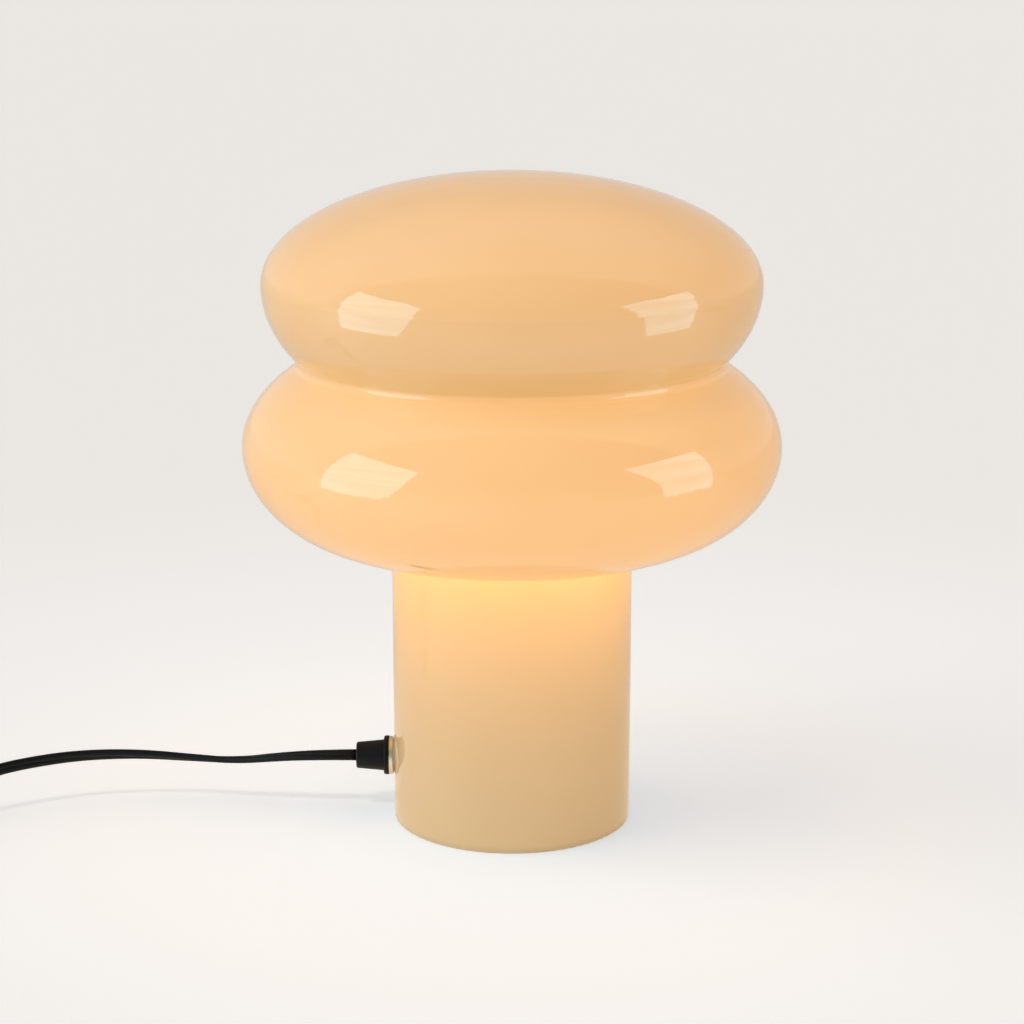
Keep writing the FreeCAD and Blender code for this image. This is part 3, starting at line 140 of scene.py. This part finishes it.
def smooth_line(name, points, steps):
    """The line that one NURBS spline draws through its control points, read back as an array of points."""
    curve = bpy.data.curves.new(name, "CURVE")
    curve.dimensions = "3D"
    curve.resolution_u = steps
    spline = curve.splines.new("NURBS")
    spline.points.add(len(points) - 1)
    spline.points.foreach_set("co", np.insert(np.asarray(points, float), 3, 1.0, 1).ravel())
    spline.order_u = 3
    spline.use_endpoint_u = True
    holder = bpy.data.objects.new(name, curve)
    mesh = bpy.data.meshes.new_from_object(holder)
    line = np.empty(len(mesh.vertices) * 3)
    mesh.vertices.foreach_get("co", line)
    bpy.data.objects.remove(holder)
    bpy.data.meshes.remove(mesh)
    bpy.data.curves.remove(curve)
    return line.reshape(-1, 3)


def travelled(line):
    """Arc length from the line's start to each of its points."""
    return np.insert(np.cumsum(np.linalg.norm(np.diff(line, axis=0), axis=1)), 0, 0.0)


def unit(vectors):
    """Each vector divided by its own length."""
    return vectors / np.linalg.norm(vectors, axis=1, keepdims=True)


def flat_cord(name, line, turned, stands_for):
    """Flat two-core cord. Its section is a stadium, straight sides of half length (wide - thick) / 2 and round ends
    of radius thick / 2, with a bell-shaped dip along the middle of each flat side. The section is carried along the
    line, and turned[i] is the angle from upright to its wide axis at point i."""
    half, flat = CORD_THICK / 2, (CORD_WIDE - CORD_THICK) / 2
    arc = np.linspace(-np.pi / 2, np.pi / 2, END_POINTS)
    side = np.linspace(-1, 1, SIDE_POINTS + 2)[1:-1] * flat
    dipped = half - CORD_DIP * np.exp(-(side / CORD_DIP_WIDE) ** 2)
    wide = np.concatenate([flat + half * np.cos(arc), -side, -flat - half * np.cos(arc), side])
    thin = np.concatenate([half * np.sin(arc), dipped, -half * np.sin(arc), -dipped])
    along = unit(np.gradient(line, axis=0))
    upright = unit(np.array([0, 0, 1.0]) - along[:, 2:] * along)
    across = np.cross(along, upright)
    wide_axis = np.cos(turned)[:, None] * upright + np.sin(turned)[:, None] * across
    thin_axis = np.cross(along, wide_axis)
    grid = line[:, None] + wide[None, :, None] * wide_axis[:, None] + thin[None, :, None] * thin_axis[:, None]
    rings, around = grid.shape[:2]
    start = (np.arange(rings - 1)[:, None] * around + np.arange(around)).ravel()
    beside = (np.arange(rings - 1)[:, None] * around + (np.arange(around) + 1) % around).ravel()
    faces = np.stack([start, beside, beside + around, start + around], 1).tolist()
    faces += [list(range(around))[::-1], list(range((rings - 1) * around, rings * around))]
    mesh = bpy.data.meshes.new(name)
    mesh.from_pydata(grid.reshape(-1, 3).tolist(), [], faces)
    mesh.shade_smooth()
    cord = put_in_scene(name, mesh)
    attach(cord, "lamp")
    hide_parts(*stands_for)
    return cord


def nodes_named(*starts):
    """The CAD nodes whose names start with one of these."""
    return [nodes[name] for name in nodes if name.startswith(starts)]


# From the lamp to the switch. Its twist is the cubic that fits the places above best.
lead_line = smooth_line("lead_line", LEAD, 10)
lead_turn = np.radians(np.polyval(np.polyfit(TWIST_AT, TWIST_DEGREES, 3), travelled(lead_line)))
lead = flat_cord("flat_cord_to_switch", lead_line, lead_turn, ["cord_lead"])

# From the switch, through the coil, to the plug
rest_line = smooth_line("rest_line", np.concatenate([RUN, coil_points(), TAIL]), 6)
rest_way = travelled(rest_line)
on_edge = eased(rest_way / ON_EDGE_OVER)
flat_again = eased(1 - (rest_way[-1] - rest_way) / FLAT_AGAIN_OVER)
rest = flat_cord("flat_cord_to_plug", rest_line, np.pi / 2 * (1 - on_edge + flat_again),
                 ["cord_run", "cord_coil", "cord_tail"])

# The photograph shows no mirror image of the cord in the glass, nor of what hangs on it.
for piece in [lead, rest] + nodes_named("switch_", "plug_", "coil_"):
    piece.visible_glossy = False


# ---------------------------------------------------------------- finishes

NOISE_LOW, NOISE_HIGH = 0.3, 0.7    # between which a noise keeps nearly everywhere
BROADER = 9                         # a finish's roughness changes over nine times its grain


def linear(text):
    """An sRGB hex colour as linear light: v / 12.92 up to 0.04045, else ((v + 0.055) / 1.055) to the power 2.4."""
    values = [int(text[i:i + 2], 16) / 255 for i in (1, 3, 5)]
    return tuple(v / 12.92 if v <= 0.04045 else ((v + 0.055) / 1.055) ** 2.4 for v in values) + (1.0,)


def add(tree, kind, inputs, **settings):
    """Adds one node. Its settings are plain properties, and each input is a value or another node's output."""
    node = tree.nodes.new("ShaderNode" + kind)
    for name, value in settings.items():
        setattr(node, name, value)
    for name, value in inputs.items():
        socket = node.inputs[name]
        if isinstance(value, bpy.types.NodeSocket):
            tree.links.new(value, socket)
        else:
            socket.default_value = value
    return node


def new_finish(name, **sockets):
    """A material with one Principled shader, whose even values are set on its own sockets."""
    finish = bpy.data.materials.new(name)
    finish.use_nodes = True
    shader = finish.node_tree.nodes["Principled BSDF"]
    for socket, value in sockets.items():
        shader.inputs[socket.replace("_", " ")].default_value = value
    return finish, finish.node_tree, shader


def worked(name, light, dark, rough, grain, depth, stretch=(1, 1, 1), **sockets):
    """A finish with an even grain. One noise of the grain's size mixes the light and dark colours and lifts the
    surface by its depth, and one nine times as wide moves the roughness between its two values. Stretch makes the
    grain finer along an axis, for turned or drawn metal."""
    finish, tree, shader = new_finish(name, **sockets)
    place = add(tree, "TexCoord", {}).outputs["Object"]
    place = add(tree, "Mapping", {"Vector": place, "Scale": stretch}).outputs["Vector"]
    fine = add(tree, "TexNoise", {"Vector": place, "Scale": 1 / grain, "Detail": 3.0}).outputs["Fac"]
    broad = add(tree, "TexNoise", {"Vector": place, "Scale": 1 / (BROADER * grain), "Detail": 2.0}).outputs["Fac"]
    colour = add(tree, "Mix", {"Factor": fine, "A": linear(dark), "B": linear(light)}, data_type="RGBA")
    gloss = add(tree, "MapRange", {"Value": broad, "From Min": NOISE_LOW, "From Max": NOISE_HIGH,
                                   "To Min": rough[0], "To Max": rough[1]})
    bump = add(tree, "Bump", {"Height": fine, "Distance": depth})
    tree.links.new(colour.outputs["Result"], shader.inputs["Base Color"])
    tree.links.new(gloss.outputs["Result"], shader.inputs["Roughness"])
    tree.links.new(bump.outputs["Normal"], shader.inputs["Normal"])
    return finish


def lit_finish(name, light, dark, given, power, grain, **sockets):
    """A diffuser or phosphor that gives off its own even light, with a fine cloudiness in its colour."""
    finish, tree, shader = new_finish(name, Emission_Color=linear(given), Emission_Strength=power, **sockets)
    place = add(tree, "TexCoord", {}).outputs["Object"]
    cloudy = add(tree, "TexNoise", {"Vector": place, "Scale": 1 / grain, "Detail": 2.0}).outputs["Fac"]
    colour = add(tree, "Mix", {"Factor": cloudy, "A": linear(dark), "B": linear(light)}, data_type="RGBA")
    tree.links.new(colour.outputs["Result"], shader.inputs["Base Color"])
    return finish


# What the opal glass lets out of the bulb's light
BULB_AT = (0.0, 0.0, 0.177)
EVEN_SHARE = 0.19               # comes from the glass around, whichever way the wall faces
WHOLE_AT = 0.1                  # distance from the bulb at which a wall that faces it gets a light of 1
FALL = 1.2                      # power of the light's fall with distance
BRIGHT_AT = 1.1                 # light at which the glow has its bright colour
GLOW_DIM = "#6A5000"            # amber
GLOW_BRIGHT = "#FCAB4B"         # orange
UNEVEN = 0.06                   # share by which the wall's thickness moves the light, up and down
UNEVEN_WAVES = 14.0             # of that thickness in a metre
FOOT_SHADE_HEIGHTS = (0.0005, 0.0035)    # heights over which painted shade at the floor contact clears
FOOT_SHADE_KEEPS = 0.55            # share of the glow that this painted shade leaves at the floor
NECK_SHADE_BELOW = (0.2065, 0.2215)   # heights over which painted shade deepens towards the neck's groove
NECK_SHADE_ABOVE = (0.2205, 0.2235)   # heights over which it clears again above
NECK_SHADE_TAKES = 0.20               # share of the glow that the painted shade takes at the groove

# The glass by itself
CREAM_DARK, CREAM_LIGHT = "#B5B29F", "#BBB8A6"
CREAM_WAVES = 22.0              # of its colour in a metre
BLOWN_WAVES = 33.0              # of its surface in a metre
BLOWN_DEPTH = 0.00012


def opal_glass():
    """Mouth-blown opal glass, fire polished: a pale cream body under a clear glossy skin, lit from inside. The
    light at a point of the wall has an even part from the glass around it and a part from the bulb, and falls with
    distance: (0.19 + 0.81 |r . n| / |r|) (0.1 m / |r|)^1.2, with r from the bulb to the point and n the wall's
    normal. A slow noise moves it for the wall's uneven thickness. Divided by 1.1, it mixes a dim amber and a bright
    orange, and goes on past the bright one. The blown surface waves by a tenth of a millimetre over 30 mm. Painted
    shade dims the glow where the glass stands on the floor, and in the groove of the neck."""
    finish, tree, shader = new_finish("mouth_blown_opal_glass", Roughness=1.0, Specular_IOR_Level=0.0,
                                      Coat_Weight=1.0, Coat_Roughness=0.05, Coat_IOR=1.5, Emission_Strength=1.0)
    place = add(tree, "TexCoord", {}).outputs["Object"]
    wall = add(tree, "NewGeometry", {}).outputs["Normal"]
    from_bulb = add(tree, "VectorMath", {0: place, 1: BULB_AT}, operation="SUBTRACT").outputs["Vector"]
    far = add(tree, "VectorMath", {0: from_bulb}, operation="LENGTH").outputs["Value"]
    towards = add(tree, "VectorMath", {0: from_bulb}, operation="NORMALIZE").outputs["Vector"]
    facing = add(tree, "VectorMath", {0: towards, 1: wall}, operation="DOT_PRODUCT").outputs["Value"]
    facing = add(tree, "Math", {0: facing}, operation="ABSOLUTE").outputs["Value"]
    facing = add(tree, "MapRange", {"Value": facing, "To Min": EVEN_SHARE, "To Max": 1.0}).outputs["Result"]
    near = add(tree, "Math", {0: WHOLE_AT, 1: far}, operation="DIVIDE").outputs["Value"]
    near = add(tree, "Math", {0: near, 1: FALL}, operation="POWER").outputs["Value"]
    reached = add(tree, "Math", {0: facing, 1: near}, operation="MULTIPLY").outputs["Value"]
    uneven = add(tree, "TexNoise", {"Vector": place, "Scale": UNEVEN_WAVES, "Detail": 2.0}).outputs["Fac"]
    uneven = add(tree, "MapRange", {"Value": uneven, "To Min": 1 - UNEVEN, "To Max": 1 + UNEVEN}).outputs["Result"]
    reached = add(tree, "Math", {0: reached, 1: uneven}, operation="MULTIPLY").outputs["Value"]
    share = add(tree, "Math", {0: reached, 1: BRIGHT_AT}, operation="DIVIDE").outputs["Value"]
    glow = add(tree, "Mix", {"Factor": share, "A": linear(GLOW_DIM), "B": linear(GLOW_BRIGHT)}, data_type="RGBA",
               clamp_factor=False)
    height = add(tree, "SeparateXYZ", {0: place}).outputs["Z"]
    # Painted contact shade: the glow dims over the lowest few millimetres, where the glass stands on the floor.
    foot = add(tree, "MapRange", {"Value": height, "From Min": FOOT_SHADE_HEIGHTS[0], "From Max": FOOT_SHADE_HEIGHTS[1],
                                  "To Min": FOOT_SHADE_KEEPS})
    # Painted shade: the glow dims in the groove of the neck between the two bulges.
    below = add(tree, "MapRange", {"Value": height, "From Min": NECK_SHADE_BELOW[0], "From Max": NECK_SHADE_BELOW[1],
                                   "To Max": NECK_SHADE_TAKES})
    above = add(tree, "MapRange", {"Value": height, "From Min": NECK_SHADE_ABOVE[0], "From Max": NECK_SHADE_ABOVE[1],
                                   "To Min": NECK_SHADE_TAKES, "To Max": 0.0})
    neck = add(tree, "Math", {0: below.outputs["Result"], 1: above.outputs["Result"]}, operation="MINIMUM")
    glow_left_by_shade = add(tree, "Math", {0: foot.outputs["Result"], 1: neck.outputs["Value"]}, operation="SUBTRACT")
    glow = add(tree, "VectorMath", {0: glow.outputs["Result"], "Scale": glow_left_by_shade.outputs["Value"]}, operation="SCALE")
    tint = add(tree, "TexNoise", {"Vector": place, "Scale": CREAM_WAVES, "Detail": 1.0}).outputs["Fac"]
    cream = add(tree, "Mix", {"Factor": tint, "A": linear(CREAM_DARK), "B": linear(CREAM_LIGHT)}, data_type="RGBA")
    wave = add(tree, "TexNoise", {"Vector": place, "Scale": BLOWN_WAVES, "Detail": 1.0}).outputs["Fac"]
    bump = add(tree, "Bump", {"Height": wave, "Distance": BLOWN_DEPTH})
    tree.links.new(cream.outputs["Result"], shader.inputs["Base Color"])
    tree.links.new(glow.outputs["Vector"], shader.inputs["Emission Color"])
    tree.links.new(bump.outputs["Normal"], shader.inputs["Coat Normal"])
    return finish


FINISH = {
    "opal_glass": opal_glass(),
    # Cast silicone rubber: cloudy clear, soft edged, takes the colour of the glass it lies on
    "clear_silicone": worked("cast_clear_silicone", "#F1E9D6", "#E2DAC8", (0.40, 0.50), 0.0012, 0.00001,
                             IOR=1.41, Transmission_Weight=0.4),
    # Turned brass, satin, under clear lacquer: fine rings round the axis of the gland, pale champagne gold
    "brass": worked("turned_lacquered_brass", "#EAE0CA", "#D9CBAC", (0.42, 0.54), 0.0016, 0.000008, (12, 1, 1),
                    Metallic=1.0, Coat_Weight=0.3, Coat_Roughness=0.2),
    # Zinc-plated steel, clear passivated: cool grey with a faint blue cast and a cloudy sheen
    "zinc_steel": worked("clear_zinc_plated_steel", "#C9CCCE", "#A9AEB4", (0.26, 0.44), 0.0020, 0.00001,
                         Metallic=1.0),
    # Moulded PVC and nylon with a spark-eroded grain: satin black, highlights broken up
    "black_plastic": worked("spark_grained_black_nylon", "#0A0909", "#060606", (0.46, 0.58), 0.0007, 0.00002,
                            IOR=1.5, Specular_IOR_Level=0.2),
    # Moulded ABS from a polished tool: darker and glossier, so the rocker stands out from its case
    "black_rocker": worked("polished_black_abs", "#121212", "#0D0D0D", (0.16, 0.24), 0.0030, 0.000008, IOR=1.53),
    # Extruded flexible PVC: black, a soft sheen, fine drag lines that show as a slow unevenness
    "cord_sheath": worked("extruded_black_pvc", "#0A0A09", "#060606", (0.44, 0.56), 0.0010, 0.000015, IOR=1.52,
                          Specular_IOR_Level=0.2),
    # Extruded PVC on the single wires: clean and slightly shiny
    "brown_wire": worked("extruded_brown_pvc", "#6B4028", "#5C3520", (0.35, 0.45), 0.0010, 0.00001, IOR=1.52),
    "blue_wire": worked("extruded_blue_pvc", "#2C5DA8", "#244F94", (0.35, 0.45), 0.0010, 0.00001, IOR=1.52),
    # Moulded phenolic resin: hard, dark brown-black, polished by its tool
    "holder_resin": worked("moulded_phenolic_resin", "#262220", "#1C1917", (0.22, 0.32), 0.0025, 0.00001, IOR=1.6),
    # Polycarbonate diffuser, lit: even warm white with no hot spot
    "bulb_opal": lit_finish("lit_polycarbonate_diffuser", "#FFF3DC", "#F7E8CC", "#FFD9A0", 1.2, 0.004,
                            Roughness=0.35, IOR=1.58),
    # Moulded PBT heat sink cover: clean matt white
    "bulb_white": worked("moulded_white_pbt", "#EEECE6", "#E2E0D9", (0.40, 0.52), 0.0012, 0.000015, IOR=1.55),
    # Nickel-plated brass: bright, slightly yellow next to zinc
    "nickel": worked("nickel_plated_brass", "#D2CCC0", "#B9B2A6", (0.14, 0.26), 0.0030, 0.000006, (1, 1, 6),
                     Metallic=1.0),
    # Aluminium-core circuit board with white solder mask: clean white with a slight gloss
    "aluminium_board": worked("white_masked_aluminium_board", "#ECECE8", "#DEDED9", (0.30, 0.40), 0.0010, 0.00001,
                              IOR=1.5),
    # Phosphor under silicone, lit: strong yellow body colour and warm light
    "led_yellow": lit_finish("lit_led_phosphor", "#F4C542", "#E5B233", "#FFE2A8", 2.0, 0.0006,
                             Roughness=0.4, IOR=1.41),
    # Glass-epoxy circuit board under green solder mask: the weave shows as a fine grain
    "green_board": worked("green_glass_epoxy_board", "#1F6B3A", "#17572E", (0.28, 0.40), 0.0008, 0.00001, IOR=1.55),
}

for part in frame["record"]["subparts"]:
    mesh = nodes[part["node"]].data
    mesh.materials.clear()
    mesh.materials.append(FINISH[part["material_slot"]])
for piece in (lead, rest):
    piece.data.materials.append(FINISH["cord_sheath"])


# ---------------------------------------------------------------- floor and lights

FLOOR_HALF = 15.0
FLOOR_PAINT = "#F3F3F3"
FLOOR_CLOSE = "#7092A8"         # what the camera sees under the lamp, cooler because the glow warms it
FLOOR_ROUND = "#989DA3"         # round it
FLOOR_FAR = "#8D8A89"           # and far off
CLOSE_TO_ROUND = (0.05, 0.19)   # distances from the lamp's axis between which one gives way to the next
ROUND_TO_FAR = (0.17, 0.75)
FLOOR_MIRRORED = "#A6A4A1"      # what gloss sees of it
ROOM_TO_LAMP = (-0.9, -0.3)     # y between which gloss sees it brighten, from the dark room in front
LAMP_TO_BEHIND = (-0.10, 0.25)  # and y between which it fades again, under the lamp
MIRRORED_FRONT = 1.3            # strengths before and behind the lamp, the second as a share of the first
MIRRORED_BEHIND = 0.12

SKY = "#949494"                 # what lights the lamp
BACKDROP = "#EBE7E2"            # what the camera sees behind it

# What gloss sees of the studio: a pale half, whose middle lies this way, and the dark room in front
REARWARDS = (0.0, 0.970, 0.242)
HALVES_MEET = 0.04              # sine of the angle, either side of their edge, over which they run together
ROOM = 0.19                     # strength everywhere
SIDES = 0.21                    # more of it towards each side
UPWARDS = -0.63                 # less towards the top
WALL = 0.45                     # more in the pale half
SCRIM = 0.90                    # and overhead there this much more instead
WALL_TO_SCRIM = (0.5, 0.85)     # z of the direction between which the wall gives way to the scrim

LAMP_WHITE = "#FFF7EA"

# Each lamp's name, its place, the level that it gives to white that faces it, and its width in degrees. Two broad
# lamps on the left, one low and one higher in front, cast the shadow beside the stem. A weak one is on the right,
# and a small one above in front casts the shadow under the cord.
LAMPS = (("left_light", (-0.93, -0.08, 0.36), 0.30, 64),
         ("high_left_light", (-0.45, -0.36, 1.00), 0.09, 36),
         ("right_light", (0.93, -0.20, 0.34), 0.04, 40),
         ("front_light", (-0.25, -0.76, 1.00), 0.16, 5))

# What the glass mirrors of them: each panel's name, its strength, and the outline of its box
PANELS = (("left_softbox", 4.0, [(-0.244, -0.350, 0.351), (-0.583, -0.190, 0.549), (-0.704, -0.152, 0.138),
                                 (-0.623, -0.127, 0.026), (-0.332, -0.297, 0.064), (-0.262, -0.318, 0.190)]),
          ("right_softbox", 3.7, [(0.280, -0.304, 0.351), (0.299, -0.238, 0.208), (0.358, -0.231, 0.070),
                                  (0.620, -0.080, 0.030), (0.640, -0.085, 0.300), (0.620, -0.080, 0.480)]))
PANEL_CLOTH = "#C4F4FF"
FOLDS = (1.5, 1.5, 22.0)        # of the cloth in a metre, along each axis
FOLD_SHADE = 0.25               # share by which they move the strength, up and down


def who_looks(tree):
    """Whether gloss looks, and whether the camera does, straight or through something clear: Is Glossy Ray, and the
    greater of Is Camera Ray and Is Transmission Ray."""
    path = add(tree, "LightPath", {}).outputs
    by_camera = add(tree, "Math", {0: path["Is Camera Ray"], 1: path["Is Transmission Ray"]}, operation="MAXIMUM")
    return path["Is Glossy Ray"], by_camera.outputs["Value"]


def matt_floor():
    """Matt white studio floor, pale and slightly warm, greyer further off. What the camera sees of it is mostly its
    own brightness, so that the lamps stay low, and the rest is light that the lamp can shade. It is cooler close to
    the lamp, where the glow warms it. Gloss sees it bright before the lamp, dark towards the room in front, and
    fading under the lamp to a dim floor behind."""
    finish, tree, shader = new_finish("matt_white_floor", Base_Color=linear(FLOOR_PAINT), Roughness=1.0,
                                      Specular_IOR_Level=0.0)
    by_gloss, by_camera = who_looks(tree)
    place = add(tree, "TexCoord", {}).outputs["Object"]
    away = add(tree, "VectorMath", {0: place}, operation="LENGTH").outputs["Value"]
    beside = add(tree, "MapRange", {"Value": away, "From Min": CLOSE_TO_ROUND[0], "From Max": CLOSE_TO_ROUND[1]})
    beyond = add(tree, "MapRange", {"Value": away, "From Min": ROUND_TO_FAR[0], "From Max": ROUND_TO_FAR[1]})
    seen = add(tree, "Mix", {"Factor": beside.outputs["Result"], "A": linear(FLOOR_CLOSE),
                             "B": linear(FLOOR_ROUND)}, data_type="RGBA")
    seen = add(tree, "Mix", {"Factor": beyond.outputs["Result"], "A": seen.outputs["Result"],
                             "B": linear(FLOOR_FAR)}, data_type="RGBA")
    seen = add(tree, "Mix", {"Factor": by_gloss, "A": seen.outputs["Result"], "B": linear(FLOOR_MIRRORED)},
               data_type="RGBA")
    ahead = add(tree, "SeparateXYZ", {0: place}).outputs["Y"]
    front = add(tree, "MapRange", {"Value": ahead, "From Min": ROOM_TO_LAMP[0], "From Max": ROOM_TO_LAMP[1],
                                   "To Max": MIRRORED_FRONT})
    back = add(tree, "MapRange", {"Value": ahead, "From Min": LAMP_TO_BEHIND[0], "From Max": LAMP_TO_BEHIND[1],
                                  "To Min": 1.0, "To Max": MIRRORED_BEHIND})
    mirrored = add(tree, "Math", {0: front.outputs["Result"], 1: back.outputs["Result"]}, operation="MULTIPLY")
    strength = add(tree, "Math", {0: by_gloss, 1: mirrored.outputs["Value"], 2: by_camera},
                   operation="MULTIPLY_ADD")
    tree.links.new(seen.outputs["Result"], shader.inputs["Emission Color"])
    tree.links.new(strength.outputs["Value"], shader.inputs["Emission Strength"])
    return finish


def studio_round():
    """The studio round the lamp. The camera sees a pale wall, and the lamp is lit by an even soft sky. Gloss sees a
    pale wall behind that darkens upwards, a brighter scrim overhead, brighter sides, and the dark of the room in
    front: 0.19 + 0.21 |x| - 0.63 z in the direction x, y, z, in the rear half 0.45 to 0.90 more, and never below
    0."""
    world = bpy.data.worlds.new("studio")
    world.use_nodes = True
    tree = world.node_tree
    by_gloss, by_camera = who_looks(tree)
    ray = add(tree, "TexCoord", {}).outputs["Generated"]
    towards = add(tree, "SeparateXYZ", {0: ray}).outputs
    behind = add(tree, "VectorMath", {0: ray, 1: REARWARDS}, operation="DOT_PRODUCT").outputs["Value"]
    behind = add(tree, "MapRange", {"Value": behind, "From Min": -HALVES_MEET, "From Max": HALVES_MEET})
    scrim = add(tree, "MapRange", {"Value": towards["Z"], "From Min": WALL_TO_SCRIM[0],
                                   "From Max": WALL_TO_SCRIM[1], "To Min": WALL, "To Max": SCRIM})
    room = add(tree, "Math", {0: behind.outputs["Result"], 1: scrim.outputs["Result"], 2: ROOM},
               operation="MULTIPLY_ADD").outputs["Value"]
    sideways = add(tree, "Math", {0: towards["X"]}, operation="ABSOLUTE").outputs["Value"]
    room = add(tree, "Math", {0: sideways, 1: SIDES, 2: room}, operation="MULTIPLY_ADD").outputs["Value"]
    room = add(tree, "Math", {0: towards["Z"], 1: UPWARDS, 2: room}, operation="MULTIPLY_ADD").outputs["Value"]
    room = add(tree, "Math", {0: room, 1: 0.0}, operation="MAXIMUM").outputs["Value"]
    shown = add(tree, "Mix", {"Factor": by_gloss, "A": linear(SKY), "B": room}, data_type="RGBA")
    shown = add(tree, "Mix", {"Factor": by_camera, "A": shown.outputs["Result"], "B": linear(BACKDROP)},
                data_type="RGBA")
    tree.links.new(shown.outputs["Result"], tree.nodes["Background"].inputs["Color"])
    return world


def softbox_cloth(name, power):
    """A panel's cloth, black but for its own light. It hangs in soft folds, which show as streaks along the box."""
    finish, tree, shader = new_finish(name + "_cloth", Base_Color=(0, 0, 0, 1), Specular_IOR_Level=0.0,
                                      Emission_Color=linear(PANEL_CLOTH))
    place = add(tree, "TexCoord", {}).outputs["Object"]
    along = add(tree, "Mapping", {"Vector": place, "Scale": FOLDS}).outputs["Vector"]
    folds = add(tree, "TexNoise", {"Vector": along, "Scale": 1.0, "Detail": 1.0}).outputs["Fac"]
    folds = add(tree, "MapRange", {"Value": folds, "From Min": NOISE_LOW, "From Max": NOISE_HIGH,
                                   "To Min": (1 - FOLD_SHADE) * power, "To Max": (1 + FOLD_SHADE) * power})
    tree.links.new(folds.outputs["Result"], shader.inputs["Emission Strength"])
    return finish


floor_mesh = bpy.data.meshes.new("studio_floor")
floor_mesh.from_pydata([(-FLOOR_HALF, -FLOOR_HALF, 0), (FLOOR_HALF, -FLOOR_HALF, 0), (FLOOR_HALF, FLOOR_HALF, 0),
                        (-FLOOR_HALF, FLOOR_HALF, 0)], [], [(0, 1, 2, 3)])
floor_mesh.materials.append(matt_floor())
floor = put_in_scene("studio_floor", floor_mesh)
scene.world = studio_round()

# The camera and gloss don't see the lamps themselves. A sun of pi gives a level of 1.
lamps = {}
for name, place, level, width in LAMPS:
    light = bpy.data.lights.new(name, "SUN")
    light.energy = level * math.pi
    light.angle = math.radians(width)
    light.color = linear(LAMP_WHITE)[:3]
    lamps[name] = put_in_scene(name, light)
    turn_towards(lamps[name], place, (0, 0, 0))
    lamps[name].visible_camera = lamps[name].visible_glossy = False

# The lit glass fills its own shadow from the small lamp, so only the cord and what holds it keep that lamp's light
# off the floor.
dark_pieces = bpy.data.collections.new("dark_pieces")
for piece in (lead, rest, nodes["strain_relief"], nodes["gland_ring"]):
    dark_pieces.objects.link(piece)
lamps["front_light"].light_linking.blocker_collection = dark_pieces

# Only gloss sees the panels.
for name, power, outline in PANELS:
    mesh = bpy.data.meshes.new(name)
    mesh.from_pydata(outline, [], [tuple(range(len(outline)))])
    mesh.materials.append(softbox_cloth(name, power))
    panel = put_in_scene(name, mesh)
    panel.visible_camera = panel.visible_diffuse = panel.visible_transmission = panel.visible_shadow = False

scene.view_settings.view_transform = "Standard"
